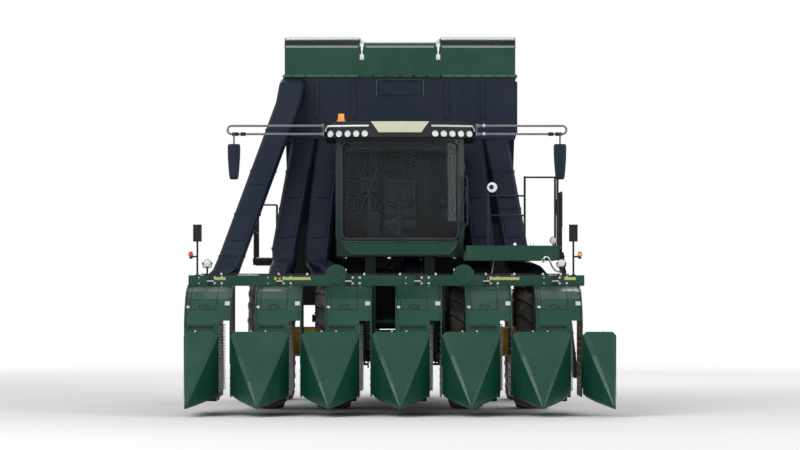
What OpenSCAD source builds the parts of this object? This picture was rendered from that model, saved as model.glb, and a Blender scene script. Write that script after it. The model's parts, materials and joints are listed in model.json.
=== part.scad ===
// Six-row cotton harvester with an on-board round module builder.
// The machine faces -Y, +Z is up and X = 0 is the line midway between its rows.
// Inside each module Y is measured from the front axle, rearwards positive.

/* [Rows and head] */
// Distance between two crop rows
row_pitch = 965; // [940:1:990]
// Width of one row unit
unit_w = 640; // [600:5:650]
// Length of a row unit without its nose
unit_len = 1250; // [1200:5:1300]
// Height of a row unit from its underside to the top of its hood
unit_h = 1530; // [1500:5:1540]
// Clearance under a row unit
unit_lo = 250; // [220:5:260]
// Length of the pointed row dividers
nose_len = 720; // [680:5:780]
// Width of the row passage through a unit
passage_w = 150; // [140:2:170]
// Height of the row passage
passage_h = 1050; // [1000:5:1080]
// Sheet thickness of a unit's crop-side panel
panel_t = 18; // [12:1:24]
// Side of the square tool bar
bar_h = 150; // [120:5:160]

/* [Head lift] */
// Distance of the lift arm pivot ahead of the front axle
pivot_y = 450; // [440:1:460]
// Drop of the lift arms from pivot to head when the head is down
arm_drop = 345; // [335:1:350]
// Height between the lift arms and the links above them
link_rise = 400; // [380:5:410]
// Depth of a lift arm
arm_h = 140; // [120:2:150]
// Radius of the torsion tube that carries the arms
torsion_r = 60; // [50:1:60]

/* [Wheels] */
// Outer diameter of the front tyres over the lugs
front_tyre_d = 1950; // [1900:5:1960]
// Bead diameter of the front rims
front_rim_d = 1067; // [1000:1:1100]
// Outer diameter of the rear tyres over the lugs
rear_tyre_d = 1750; // [1700:5:1760]
// Bead diameter of the rear rims
rear_rim_d = 864; // [820:1:900]
// Section width of every tyre
tyre_w = 520; // [480:2:530]
// Height of the tread lugs
lug_h = 45; // [35:1:50]
// Front axle to rear axle
wheelbase = 4000; // [3950:5:4050]

/* [Chassis] */
// Inner face of each frame rail from the centreline
rail_in = 350; // [330:5:360]
// Width of each frame rail
rail_w = 150; // [120:2:150]
// Height of the frame rails
rail_h = 300; // [260:5:310]
// Radius of the kingpins
kingpin_r = 45; // [35:1:50]

/* [Cab] */
// Width of the cab over its pillars
cab_w = 1800; // [1760:5:1820]
// Front of the cab ahead of the front axle
cab_front = 1690; // [1660:1:1720]
// Length of the cab
cab_len = 1700; // [1680:5:1720]
// Height of the cab's floor above the frame rails
cab_rise = 1050; // [1030:5:1070]
// Height of the cab from floor underside to roof underside
cab_h = 1670; // [1640:5:1700]
// Thickness of the cab walls and of the door
wall_t = 55; // [45:1:60]
// Thickness of the glass
glass_t = 8; // [6:1:10]
// Plan radius of the bowed windshield
bow_r = 2600; // [2400:20:3000]
// Width of the cab roof
roof_w = 2140; // [2100:5:2180]
// Height of the cab roof
roof_h = 230; // [210:5:240]

/* [Landing] */
// Width of the landing beside the cab
landing_w = 1320; // [1280:5:1340]
// Depth of the landing from front to back
landing_len = 800; // [760:5:810]
// Height of the hand rails above the landing
rail_top = 1070; // [1000:5:1100]
// Tube radius of the hand rails
tube_r = 16; // [14:1:20]

/* [Accumulator] */
// Width of the accumulator
acc_w = 3400; // [3360:10:3440]
// Length of the accumulator
acc_len = 2750; // [2700:5:2800]
// Height of the accumulator's dark front wall
acc_wall_h = 910; // [880:5:940]
// Height of the hood from the seam to the side lids' top
hood_h = 580; // [560:5:600]
// Step from the hood's middle up to its side lids
lid_h = 70; // [50:2:90]
// Wall thickness of the accumulator
acc_t = 40; // [30:1:50]

/* [Air ducts] */
// Width of one air duct
duct_w = 360; // [340:2:370]
// Depth of one air duct
duct_d = 340; // [320:2:345]
// Width of a duct's mouth behind its row unit
mouth_w = 240; // [220:2:250]

/* [Module chamber] */
// Radius of the chamber's side plates
drum_r = 1330; // [1300:1:1340]
// Inner width of the chamber
drum_w = 2430; // [2400:5:2440]
// Thickness of the chamber's side plates
side_t = 30; // [24:1:34]
// Radius of the belt rollers
roller_r = 90; // [80:1:95]
// Thickness of the chamber belts
belt_t = 14; // [10:1:16]
// Length of the module handler's arms
handler_len = 1200; // [1150:5:1250]

/* [Hidden] */
$fn = 48;

// Clearances
fit = 0.05;          // radial clearance of a shaft in its bore
gap = 5;             // clearance between moving pieces
seat = 0.3;          // clearance where two pieces lie against each other

// Paint
green = [0.07, 0.24, 0.12];
dark_green = [0.04, 0.14, 0.09];
black = [0.06, 0.06, 0.07];
grey = [0.45, 0.46, 0.48];
yellow = [0.85, 0.65, 0.08];
amber = [0.9, 0.4, 0.05];
cream = [0.85, 0.82, 0.65];
rubber = [0.05, 0.05, 0.05];
glass = [0.25, 0.35, 0.4, 0.4];

// Heights
front_z = front_tyre_d / 2;
rear_z = rear_tyre_d / 2;
rail_lo = front_z - 125;
rail_hi = rail_lo + rail_h;
cab_lo = rail_hi + cab_rise;
cab_hi = cab_lo + cab_h;
deck_t = 40;
deck_z = cab_lo + 20;
deck_top = deck_z + deck_t;
acc_lo = cab_hi + 80;
acc_seam = acc_lo + acc_wall_h;
acc_top = acc_seam + hood_h;
unit_top = unit_lo + unit_h;
passage_top = unit_lo + passage_h;
pivot_z = rail_hi + 110;
drum_z = rail_hi + drum_r + 20;

// Places along the machine, from the front axle
cab_rear = cab_len - cab_front;
unit_rear = -cab_front - 40;
unit_front = unit_rear - unit_len;
nose_tip = unit_front - nose_len;
acc_front = cab_rear + 340;
acc_rear = acc_front + acc_len;
acc_slope = 1300;
acc_knee = acc_front + 450;
acc_out = acc_lo - acc_slope;
drum_y = acc_rear + drum_r + 270;
handler_y = drum_y + 300;
tail = handler_y + handler_len;
axle_y = (-nose_tip - tail) / 2;

// Places across the machine
row_count = 6;
inner_x = row_pitch;
outer_x = 2 * row_pitch;
rail_out = rail_in + rail_w;
cab_x = cab_w / 2;
acc_x = acc_w / 2;
side_x = drum_w / 2;
side_out = side_x + side_t;
landing_in = cab_x + 30;
landing_out = landing_in + landing_w;
kingpin_x = outer_x - 480;
box_out = acc_x - 40;
tank_out = side_out + 25;

// Shared small sizes
pin_r = 35;
link_pin_r = 25;
ram_pin_r = 20;
spindle_r = 60;
disc_t = 24;
bracket_t = 25;
arm_x = [rail_out + 30, rail_out + 110];
bar_y = [unit_rear - 320, unit_rear - 320 + bar_h];
bar_z = [unit_top, unit_top + bar_h];
hub_x = arm_x[1] + 135;
belt_r = drum_r - 45;

// A unit's row line, and its edge on the side away from the row
function row_x(i) = (i - (row_count + 1) / 2) * row_pitch;
row_inset = passage_w / 2 + panel_t;
function unit_x(i) = row_x(i) + row_inset - unit_w;
// The furrow to the -X side of row i, where a nose's tip runs
function furrow_x(i) = row_x(i) - row_pitch / 2;
head_x = -unit_x(1);

// A box between two corners given as ranges along X, Y and Z
module block(x, y, z)
    translate([x[0], y[0], z[0]])
        cube([x[1] - x[0], y[1] - y[0], z[1] - z[0]]);

// A round bar between two points
module bar(a, b, r) {
    v = b - a;
    translate(a)
        rotate([0, acos(v[2] / norm(v)), atan2(v[1], v[0])])
            cylinder(h = norm(v), r = r);
}

// A round bar along X
module cross(x, y, z, r)
    translate([x[0], y, z]) rotate([0, 90, 0]) cylinder(h = x[1] - x[0], r = r);

// A plate whose outline is given as [y, z] points, between two X values
module plate(x, points)
    translate([x[0], 0, 0]) rotate([90, 0, 90])
        linear_extrude(x[1] - x[0]) polygon(points);

// A plate whose outline is given as [x, z] points, between two Y values
module front_plate(y, points)
    translate([0, y[1], 0]) rotate([90, 0, 0])
        linear_extrude(y[1] - y[0]) polygon(points);

module sides() {
    children();
    mirror([1, 0, 0]) children();
}

// Everything is drawn from the front axle and then set in the row frame
module machine() translate([0, axle_y, 0]) children();

// Chassis

tow_r = 22;

module chassis() machine() color(green) {
    front_end = -pivot_y - 250;
    rear_end = drum_y + 600;
    difference() {
        union() {
            sides() {
                block([rail_in, rail_out], [front_end, rear_end], [rail_lo, rail_hi]);
                // posts under the cab and the accumulator
                for (y = [front_end, cab_rear - 150])
                    block([rail_in, rail_out], [y, y + 130], [rail_hi, cab_lo - seat]);
                block([rail_in, rail_in + 100], [acc_front + 250, acc_front + 350],
                    [rail_hi, acc_lo - seat]);
                block([rail_in, rail_in + 100], [acc_rear - 40, acc_rear],
                    [rail_hi, acc_out - seat]);
            }
            for (y = [front_end, acc_knee + 500, acc_rear - 400, rear_end - 120])
                block([-rail_in, rail_in], [y, y + 120], [rail_lo + 60, rail_hi - 60]);
            // tow plate behind the last cross member
            block([-80, 80], [rear_end - 1, rear_end + 120], [rail_lo + 100, rail_lo + 140]);
        }
        translate([0, rear_end + 70, rail_lo]) cylinder(h = 200, r = tow_r);
    }
}

// Plates on the rails that carry the torsion tube, the upper links and the lift rams
module front_brackets() machine() color(green) sides() {
    x = [rail_out + seat, rail_out + bracket_t];
    link_z = pivot_z + link_rise;
    foot = lift_foot;
    difference() {
        union() {
            plate(x, [
                [-pivot_y - 210, rail_lo + 20], [-pivot_y + 210, rail_lo + 20],
                [-pivot_y + 210, rail_hi], [-pivot_y + 90, link_z + 60],
                [-pivot_y - 90, link_z + 60], [-pivot_y - 210, rail_hi]
            ]);
            plate(x, [
                [foot[0] - 70, foot[1] - 60], [foot[0] + 70, foot[1] - 60],
                [foot[0] + 110, rail_lo + 21], [foot[0] - 110, rail_lo + 21]
            ]);
            cross([rail_out + 1, arm_x[1]], foot[0], foot[1], ram_pin_r);
            cross([rail_out + 1, arm_x[0] + 55], -pivot_y, link_z, link_pin_r);
        }
        cross([x[0] - 1, x[1] + 1], -pivot_y, pivot_z, torsion_r + fit);
    }
}

// Plates on the rails that carry the module handler and its rams
module rear_brackets() machine() color(green) sides() {
    foot = handler_foot;
    plate([rail_out + seat, rail_out + bracket_t], [
        [foot[0] - 80, foot[1] - 60], [foot[0] + 80, foot[1] - 60],
        [handler_y + 80, handler_z - 60], [handler_y + 80, rail_hi - 20],
        [foot[0] - 80, rail_hi - 20]
    ]);
    cross([rail_out + 1, handler_x[1] + 5], handler_y, handler_z, handler_r);
    cross([rail_out + 1, handler_x[1] + 80], foot[0], foot[1], ram_pin_r);
}

module front_axle() machine() color(black) {
    block([-rail_out - 60, rail_out + 60], [-190, 190], [front_z - 200, rail_lo]);
    sides() {
        cross([rail_out, hub_x - gap], 0, front_z, 240);
        cross([hub_x - gap - 1, hub_x + 160], 0, front_z, spindle_r);
        // flange bolts of the final drive
        for (a = [0 : 30 : 330])
            cross([hub_x - 40, hub_x - gap], 210 * cos(a), front_z + 210 * sin(a), 14);
    }
}

ear_h = 50;
king_half = 190;

module rear_axle() machine() color(black) {
    ear_x = kingpin_x - 130;
    beam_z = [rail_lo - 250, rail_lo - 60];
    translate([0, wheelbase, 0]) {
        block([-ear_x, ear_x], [-110, 110], beam_z);
        block([-rail_out, rail_out], [-150, 150], [beam_z[1], rail_lo]);
        sides() {
            block([ear_x - 100, ear_x], [-110, 110], [rear_z - king_half, rear_z + king_half]);
            for (z = [rear_z - king_half, rear_z + king_half - ear_h])
                difference() {
                    union() {
                        block([ear_x - 1, kingpin_x], [-90, 90], [z, z + ear_h]);
                        translate([kingpin_x, 0, z]) cylinder(h = ear_h, r = 90);
                    }
                    translate([kingpin_x, 0, z - 1])
                        cylinder(h = ear_h + 2, r = kingpin_r + fit);
                }
        }
    }
}

arm_z = rear_z - king_half + ear_h + 10;
steer_reach = 350;

module knuckle() {
    translate([kingpin_x, wheelbase, 0]) {
        translate([0, 0, rear_z - king_half]) cylinder(h = 2 * king_half, r = kingpin_r);
        translate([0, 0, rear_z - king_half + ear_h + gap])
            cylinder(h = 2 * (king_half - ear_h - gap), r = 88);
        cross([0, outer_x - kingpin_x + 60], 0, rear_z, spindle_r);
        difference() {
            block([-45, 45], [60, steer_reach + 40], [arm_z, arm_z + 30]);
            translate([0, steer_reach, arm_z - 1]) cylinder(h = 32, r = 20 + fit);
        }
    }
}

module knuckle_right() machine() color(black) mirror([1, 0, 0]) knuckle();
module knuckle_left() machine() color(black) knuckle();

module tie_rod() machine() color(grey) {
    rod_z = arm_z - 28;
    translate([0, wheelbase + steer_reach, rod_z]) {
        bar([-kingpin_x, 0, 0], [kingpin_x, 0, 0], 24);
        sides() translate([kingpin_x, 0, 0]) {
            translate([0, 0, -27]) cylinder(h = 54, r = 42);
            translate([0, 0, 26]) cylinder(h = 32, r = 20);
        }
    }
}

// Engine, boxes, tanks and shields

module engine() machine() color(grey) {
    x = rail_out - 10;
    block([-x, x], [acc_front + 400, acc_knee + 1150], [rail_hi, cab_lo - 150]);
}

box_y = [front_z + 75, acc_front + 1630];
box_z = [rail_hi + 350, acc_out + 50];

module side_boxes() machine() color(black) {
    x = [side_out + 25 + seat, box_out];
    // radiator box on the -X side with a louvred face
    mirror([1, 0, 0]) {
        difference() {
            block(x, box_y, box_z);
            block([x[1] - 60, x[1] + 1], [box_y[0] + 60, box_y[1] - 60],
                [box_z[0] + 60, box_z[1] - 60]);
        }
        for (z = [box_z[0] + 90 : 108 : box_z[1] - 100])
            block([x[1] - 61, x[1] - 10], [box_y[0] + 59, box_y[1] - 59], [z, z + 30]);
    }
    // service cabinet on the +X side with two raised doors
    block([x[0], x[1] - 20], box_y, box_z);
    mid = (box_y[0] + box_y[1]) / 2;
    for (y = [[box_y[0] + 30, mid - 15], [mid + 15, box_y[1] - 30]])
        block([x[1] - 21, x[1]], y, [box_z[0] + 40, box_z[1] - 40]);
}

tank_y = [front_z + 105, acc_rear - 200];
tank_z = [rail_lo - 150, rail_hi + 275];

module side_tanks() machine() color(black)
    sides() {
        block([rail_out + seat, tank_out], tank_y, [tank_z[0] + 80, tank_z[1] - seat]);
        // rounded sump under the tank
        plate([rail_out + 60, tank_out - 80], [
            [tank_y[0] + 80, tank_z[0] + 81], [tank_y[0] + 200, tank_z[0]],
            [tank_y[1] - 200, tank_z[0]], [tank_y[1] - 80, tank_z[0] + 81]
        ]);
    }

module side_shields() machine() color(green) sides() {
    x = [side_out + 25 - side_t, side_out + 25];
    top = acc_out + 600;
    foot = front_tyre_d + 110;
    difference() {
        plate(x, [
            [acc_front + 130, foot], [acc_front + 130, top], [acc_front + 1030, top],
            [acc_front + 1750, acc_out - 50], [acc_rear - 10, acc_out - 90],
            [acc_rear - 10, tank_z[1] - 170], [acc_rear - 150, tank_z[1] - 170],
            [acc_rear - 150, tank_z[1]], [tank_y[0], tank_z[1]], [tank_y[0], foot]
        ]);
        // air slots
        for (z = [tank_z[1] + 150 : 90 : acc_out - 300])
            block([x[0] - 1, x[1] + 1], [acc_front + 1800, acc_rear - 180], [z, z + 40]);
    }
    // shield over the front half of the module chamber
    shield_x = [side_out + seat, side_out + 120];
    plate(shield_x, [
        [acc_rear + seat, drum_z - 0.45 * drum_r], [drum_y - 10, drum_z - 0.45 * drum_r],
        [drum_y - 10, drum_z + 0.6 * drum_r], [drum_y - 0.38 * drum_r, drum_z + 0.9 * drum_r],
        [acc_rear + seat, drum_z + 0.75 * drum_r]
    ]);
    cross([shield_x[1] - 1, gate_ram_x + 50], gate_foot[0], gate_foot[1], ram_pin_r);
}

// Cab: the front is bowed in plan about a point behind it

bow_y = bow_r - cab_front;
door_y = [-cab_front + 270, -cab_front + 880];
door_z = [cab_lo + 90, cab_hi - 40];
door_hinge = [cab_x + 20, door_y[1] + 4];
hinge_r = 8;
hinge_z = [cab_lo + 400, cab_lo + 1250];
toe = 80;          // how far the lower front slopes back
toe_h = 500;       // height of that slope
screen_x = cab_x - wall_t - 10;
screen_z = [cab_lo + 230, cab_hi - 40];

// A ring or disc about the bow's centre, with its outline as [radius, z] points
module bowed(points)
    translate([0, bow_y, 0]) rotate_extrude($fn = 360) polygon(points);

module cab_body(in, lo, hi)
    intersection() {
        block([-cab_x + in, cab_x - in], [-cab_front - 1, cab_rear - in], [lo, hi]);
        bowed([
            [0, lo - 1], [bow_r - in - toe * (1 - (lo - cab_lo) / toe_h), lo],
            [bow_r - in, cab_lo + toe_h], [bow_r - in, hi + 1], [0, hi + 1]
        ]);
    }

module cab_shell() machine() color(dark_green) {
    side_y = [door_y[1] + 60, cab_rear - 90];
    difference() {
        cab_body(0, cab_lo, cab_hi);
        cab_body(wall_t, cab_lo + 80, cab_hi - 50);
        block([-screen_x, screen_x], [-cab_front - 10, -cab_front + 320], screen_z);
        // rear window
        block([-cab_x + 120, cab_x - 120], [cab_rear - 100, cab_rear + 10],
            [cab_lo + 700, cab_hi - 120]);
        // side windows
        sides() block([cab_x - wall_t - 10, cab_x + 10], side_y,
            [cab_lo + 600, cab_hi - 90]);
        block([-cab_x - 10, -cab_x + wall_t + 10], door_y, [cab_lo + 250, cab_hi - 90]);
        // door way
        block([cab_x - wall_t - 10, cab_x + 10], door_y, door_z);
    }
    // hinge pins of the door with an ear above and below each knuckle
    for (h = hinge_z) {
        translate([door_hinge[0], door_hinge[1], h - 15]) cylinder(h = 110, r = hinge_r);
        for (z = [h - 15, h + 85]) {
            translate([door_hinge[0], door_hinge[1], z]) cylinder(h = 10, r = 14);
            block([cab_x - 1, door_hinge[0]], [door_hinge[1] - 2, door_hinge[1] + 14],
                [z, z + 10]);
        }
    }
}

// Lower front panel, narrower at its foot
module cab_fascia() machine() color(green) {
    z = [cab_lo + 20, cab_lo + 215];
    t = 14;
    slope = toe / toe_h;
    intersection() {
        front_plate([-cab_front - 50, -cab_front + 500], [
            [-screen_x + 170, z[0]], [screen_x - 170, z[0]],
            [screen_x - 40, z[1] - 60], [screen_x, z[1]], [-screen_x, z[1]],
            [-screen_x + 40, z[1] - 60]
        ]);
        bowed([
            [bow_r - toe + seat, cab_lo], [bow_r - toe + seat + t, cab_lo],
            [bow_r + seat + t, cab_lo + toe_h], [bow_r + seat, cab_lo + toe_h]
        ]);
    }
}

module cab_glass() machine() color(glass) {
    r = bow_r - 12;
    intersection() {
        block([-screen_x + seat, screen_x - seat], [-cab_front - 10, -cab_front + 320],
            [screen_z[0] + seat, screen_z[1] - seat]);
        bowed([
            [r - toe - glass_t, cab_lo], [r - toe, cab_lo], [r, cab_lo + toe_h],
            [r, cab_hi], [r - glass_t, cab_hi], [r - glass_t, cab_lo + toe_h]
        ]);
    }
    block([-cab_x + 120 + seat, cab_x - 120 - seat], [cab_rear - 30, cab_rear - 30 + glass_t],
        [cab_lo + 700 + seat, cab_hi - 120 - seat]);
    sides() block([cab_x - 25 - glass_t, cab_x - 25],
        [door_y[1] + 60 + seat, cab_rear - 90 - seat],
        [cab_lo + 600 + seat, cab_hi - 90 - seat]);
    block([-cab_x + 25, -cab_x + 25 + glass_t], [door_y[0] + seat, door_y[1] - seat],
        [cab_lo + 250 + seat, cab_hi - 90 - seat]);
}

module cab_door() machine() color(dark_green) {
    y = [door_y[0] + 6, door_y[1] - 6];
    z = [door_z[0] + 6, door_z[1] - 6];
    difference() {
        block([cab_x - wall_t, cab_x], y, z);
        block([cab_x - wall_t - 1, cab_x + 1], [y[0] + 60, y[1] - 60],
            [z[0] + 120, z[1] - 60]);
    }
    for (h = hinge_z)
        translate([door_hinge[0], door_hinge[1], h])
            difference() {
                union() {
                    cylinder(h = 80, r = 16);
                    block([-21, 0], [-40, -11], [0, 80]);
                }
                translate([0, 0, -1]) cylinder(h = 82, r = hinge_r + fit);
            }
    // handle
    handle_z = [cab_lo + 760, cab_lo + 980];
    block([cab_x + 25, cab_x + 40], [y[0] + 20, y[0] + 45], handle_z);
    for (hz = [handle_z[0], handle_z[1] - 20])
        block([cab_x - 1, cab_x + 26], [y[0] + 20, y[0] + 45], [hz, hz + 20]);
}

module door_glass() machine() color(glass) {
    y = [door_y[0] + 6, door_y[1] - 6];
    z = [door_z[0] + 6, door_z[1] - 6];
    block([cab_x - 30, cab_x - 30 + glass_t], [y[0] + 60 + seat, y[1] - 60 - seat],
        [z[0] + 120 + seat, z[1] - 60 - seat]);
}

roof_r = bow_r + 200;

module cab_roof() machine() color(dark_green) {
    x = roof_w / 2;
    z = cab_hi + seat;
    intersection() {
        front_plate([-cab_front - 300, cab_rear + 80], [
            [-x, z], [x, z], [x, z + 0.5 * roof_h], [x - 50, z + 0.8 * roof_h],
            [x - 170, z + roof_h], [-x + 170, z + roof_h], [-x + 50, z + 0.8 * roof_h],
            [-x, z + 0.5 * roof_h]
        ]);
        bowed([
            [0, z - 1], [roof_r, z - 1], [roof_r, z + 0.65 * roof_h],
            [roof_r - 40, z + roof_h], [0, z + roof_h]
        ]);
    }
}

// Pale panel in the middle of the roof's front
module visor_panel() machine() color(cream) {
    z = [cab_hi + 0.3 * roof_h, cab_hi + 0.98 * roof_h];
    t = 12;
    r = roof_r + seat;
    intersection() {
        front_plate([-cab_front - 300, -cab_front],
            [[-300, z[0]], [300, z[0]], [410, z[1]], [-410, z[1]]]);
        bowed([
            [r, cab_hi], [r + t, cab_hi], [r + t, cab_hi + seat + 0.65 * roof_h],
            [r + t - 40, cab_hi + seat + roof_h], [r - 40, cab_hi + seat + roof_h],
            [r, cab_hi + seat + 0.65 * roof_h]
        ]);
    }
}

module roof_lamps() machine() color([0.9, 0.9, 0.85]) {
    z = cab_hi + 0.22 * roof_h;
    for (side = [-1, 1], i = [0 : 4])
        translate([0, bow_y, z]) rotate([0, 0, side * asin((490 + i * 120) / roof_r)])
            translate([0, -roof_r - seat, 0]) rotate([90, 0, 0])
                cylinder(h = 32, r = 36);
}

module beacon() machine() color(amber) {
    z = cab_hi + seat + roof_h + seat;
    translate([-roof_w / 2 + 240, -cab_front + 60, z]) {
        cylinder(h = 30, r = 60);
        cylinder(h = 110, r = 45);
    }
}

floor_z = cab_lo + 80 + seat;
seat_y = -cab_front + 900;

module seat_cushions() machine() color(black) {
    block([-260, 260], [seat_y - 60, seat_y + 400], [floor_z + 340 + seat, floor_z + 460]);
    block([-250, 250], [seat_y + 345, seat_y + 445], [floor_z + 475, floor_z + 1080]);
}

module operator_station() machine() color(black) {
    wheel = [0, seat_y - 340, floor_z + 700];
    // seat box, pan and back plate
    block([-230, 230], [seat_y, seat_y + 420], [floor_z, floor_z + 301]);
    block([-250, 250], [seat_y - 40, seat_y + 470], [floor_z + 300, floor_z + 340]);
    block([-220, 220], [seat_y + 445 + seat, seat_y + 470], [floor_z + 339, floor_z + 980]);
    // console with its lever and display
    block([-480, -290], [seat_y - 100, seat_y + 420], [floor_z, floor_z + 560]);
    translate([-385, seat_y + 40, floor_z + 500]) cylinder(h = 200, r = 24);
    translate([-440, seat_y - 60, floor_z + 500]) cylinder(h = 380, r = 20);
    block([-560, -320], [seat_y - 80, seat_y - 40], [floor_z + 860, floor_z + 1060]);
    // steering column and wheel
    block([-90, 90], [seat_y - 560, seat_y - 390], [floor_z, floor_z + 70]);
    bar([0, seat_y - 470, floor_z + 30], wheel, 45);
    translate(wheel) rotate([-25, 0, 0]) {
        rotate_extrude() translate([190, 0]) circle(r = 16, $fn = 24);
        block([-190, 190], [-16, 16], [-8, 8]);
        cylinder(h = 30, r = 60);
    }
}

// Landing and ladder

landing_y = [-cab_front, -cab_front + landing_len];

module landing() machine() color(green) {
    block([landing_in, landing_out], landing_y, [deck_z, deck_top]);
    // bearers under the deck, fixed to a plate on the cab's side
    for (y = [landing_y[0] + 30, landing_y[1] - 130])
        block([cab_x + seat, landing_out - 40], [y, y + 60], [cab_lo - 60, deck_z + 1]);
    block([cab_x + seat, cab_x + 14], [landing_y[0] + 30, landing_y[1] - 70],
        [cab_lo - 60, door_z[0] - 15]);
    // kick plate along the front edge
    block([landing_in, landing_out], [landing_y[0], landing_y[0] + 8],
        [cab_lo - 60, deck_top + 90]);
}

module landing_rails() machine() color(black) {
    z = deck_top + seat;
    top = deck_top + rail_top;
    out = landing_out - tube_r - 10;
    front = landing_y[0] + tube_r + 20;
    back = landing_y[1] - tube_r - 10;
    in = landing_in + 310;
    mid = landing_out - 490;
    thin = 0.8 * tube_r;
    // posts on flanges: [x, y, height of the top]
    for (p = [[in, front, top - 280], [mid, front, top], [out, front, top], [out, back, top]]) {
        bar([p[0], p[1], z], [p[0], p[1], p[2]], tube_r);
        translate([p[0], p[1], z]) cylinder(h = 8, r = tube_r + 10);
    }
    for (h = [0.48, 0.74])
        bar([in, front, z + h * rail_top], [mid, front, z + h * rail_top], thin);
    bar([mid, front, top - tube_r], [out, front, top - tube_r], thin);
    bar([out, front, top - 0.5 * rail_top], [out, front + 180, top - 0.5 * rail_top], thin);
    bar([out, front + 180, top - 0.5 * rail_top - thin],
        [out, front + 180, top - 0.3 * rail_top], thin * 0.9);
}

module ladder() machine() color(black) {
    y = [landing_y[0] + 260, landing_y[0] + 660];
    top = [landing_out + seat, deck_top];
    foot = [landing_out + 210, rear_z - 400];
    for (ly = y)
        front_plate([ly - 15, ly + 15], [
            [top[0], top[1]], [top[0] + 70, top[1]],
            [foot[0] + 70, foot[1]], [foot[0], foot[1]]
        ]);
    for (i = [0 : 5]) {
        z = foot[1] + 40 + i * (top[1] - foot[1] - 40) / 6;
        x = foot[0] + (top[0] - foot[0]) * (z - foot[1]) / (top[1] - foot[1]);
        block([x, x + 75], y, [z, z + 35]);
    }
    // hand rails of the ladder
    for (ly = y) {
        base = [top[0] + 35, ly, top[1] - 40];
        bar(base, [top[0] + 35, ly, top[1] + 860], tube_r);
    }
}

module service_deck() machine() color(black) {
    x = [-box_out - 540, -box_out - seat];
    y = [box_y[0], acc_front + 2000];
    z = cab_lo - 40;
    block(x, y, [z, z + deck_t]);
    block(x, [y[0] + 60, y[0] + 120], [z - 60, z]);
    block([x[0], -side_out - 25 - seat], [y[1] - 250, y[1] - 190], [z - 60, z]);
    top = z + 840;
    out = x[0] + tube_r + 10;
    for (py = [y[0] + 30, (y[0] + y[1]) / 2, y[1] - 30])
        bar([out, py, z + deck_t - 1], [out, py, top], tube_r);
    for (rz = [z + 440, top - 1])
        bar([out, y[0] + 30, rz], [out, y[1] - 30, rz], tube_r * 0.8);
    bar([out, y[0] + 30, top - 1], [-box_out - 180, y[0] + 30, top - 1], tube_r * 0.8);
    bar([-box_out - 180, y[0] + 30, z + deck_t - 1], [-box_out - 180, y[0] + 30, top], tube_r);
}

// Accumulator

module accumulator() machine() color(black) {
    outline = [
        [acc_front, acc_lo], [acc_knee, acc_lo], [acc_knee + acc_slope, acc_out],
        [acc_rear, acc_out], [acc_rear, acc_seam], [acc_front, acc_seam]
    ];
    inside = [
        [acc_front + acc_t, acc_lo + acc_t], [acc_knee + 0.7 * acc_t, acc_lo + acc_t],
        [acc_knee + acc_slope + acc_t, acc_out - 1], [acc_rear - acc_t, acc_out - 1],
        [acc_rear - acc_t, acc_seam + 1], [acc_front + acc_t, acc_seam + 1]
    ];
    difference() {
        plate([-acc_x, acc_x], outline);
        plate([-acc_x + acc_t, acc_x - acc_t], inside);
    }
    // frame of a hatch and two ribs on the front wall
    hatch_z = [acc_seam - 290, acc_seam - 30];
    for (z = [hatch_z[0], hatch_z[1] - 20])
        block([-335, 335], [acc_front - 14, acc_front + 1], [z, z + 20]);
    sides() {
        block([315, 335], [acc_front - 14, acc_front + 1], hatch_z);
        for (x = [0.38 * acc_x, 0.7 * acc_x])
            block([x, x + 60], [acc_front - 20, acc_front + 1], [acc_lo + 300, acc_seam - 40]);
        // ribs on the side walls
        for (y = [acc_front : (acc_len - 60) / 5 : acc_rear])
            block([acc_x - 1, acc_x + 30], [y, y + 60], [acc_lo + 60, acc_seam - 60]);
    }
}

// The hood steps up to a lid on each side
module accumulator_hood() machine() color(green) {
    z = acc_seam + seat;
    top = acc_top - lid_h;
    step = acc_x * 0.345;
    difference() {
        union() {
            plate([-acc_x, acc_x], [
                [acc_front, z], [acc_rear, z], [acc_rear, top - 40],
                [acc_rear - 40, top], [acc_front + 40, top], [acc_front, top - 40]
            ]);
            sides() plate([step, acc_x], [
                [acc_front, z], [acc_rear, z], [acc_rear, acc_top - 40],
                [acc_rear - 40, acc_top], [acc_front + 40, acc_top],
                [acc_front, acc_top - 40]
            ]);
            // ledge along the seam
            block([-acc_x - 20, acc_x + 20], [acc_front - 30, acc_rear + 20], [z, z + 40]);
        }
        plate([-acc_x + acc_t, acc_x - acc_t], [
            [acc_front + acc_t, z - 1], [acc_rear - acc_t, z - 1],
            [acc_rear - acc_t, top - 80], [acc_rear - 80, top - acc_t],
            [acc_front + 80, top - acc_t], [acc_front + acc_t, top - 80]
        ]);
        // recessed screens in the side walls
        sides() for (i = [0 : 3]) {
            bay = (acc_len - 140) / 4;
            y = acc_front + 70 + i * bay;
            block([acc_x - 15, acc_x + 1], [y + 30, y + bay - 30], [z + 110, top - 90]);
        }
    }
}

module hood_trim() machine() color(grey) {
    step = acc_x * 0.345;
    t = 22;
    sides() block([step + 20, acc_x - 10], [acc_front + 60, acc_front + 60 + t],
        [acc_top + seat, acc_top + t]);
    block([-step + 20, step - 20], [acc_front + 60, acc_front + 60 + t],
        [acc_top - lid_h + seat, acc_top - lid_h + t]);
}

// Air ducts: each row of a table is [x, y, z, turn, width, depth] of one ring,
// where turn is 0 for an upright ring and 90 for a level one

function ring(s) = let (
    bevel = 36,
    w = s[4] / 2,
    d = s[5] / 2,
    u = [0, -sin(s[3]), cos(s[3])]
) [
    for (p = [
        [-w, -d + bevel], [-w, d - bevel], [-w + bevel, d], [w - bevel, d],
        [w, d - bevel], [w, -d + bevel], [w - bevel, -d], [-w + bevel, -d]
    ]) [s[0] + p[0], s[1], s[2]] + p[1] * u
];

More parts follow.
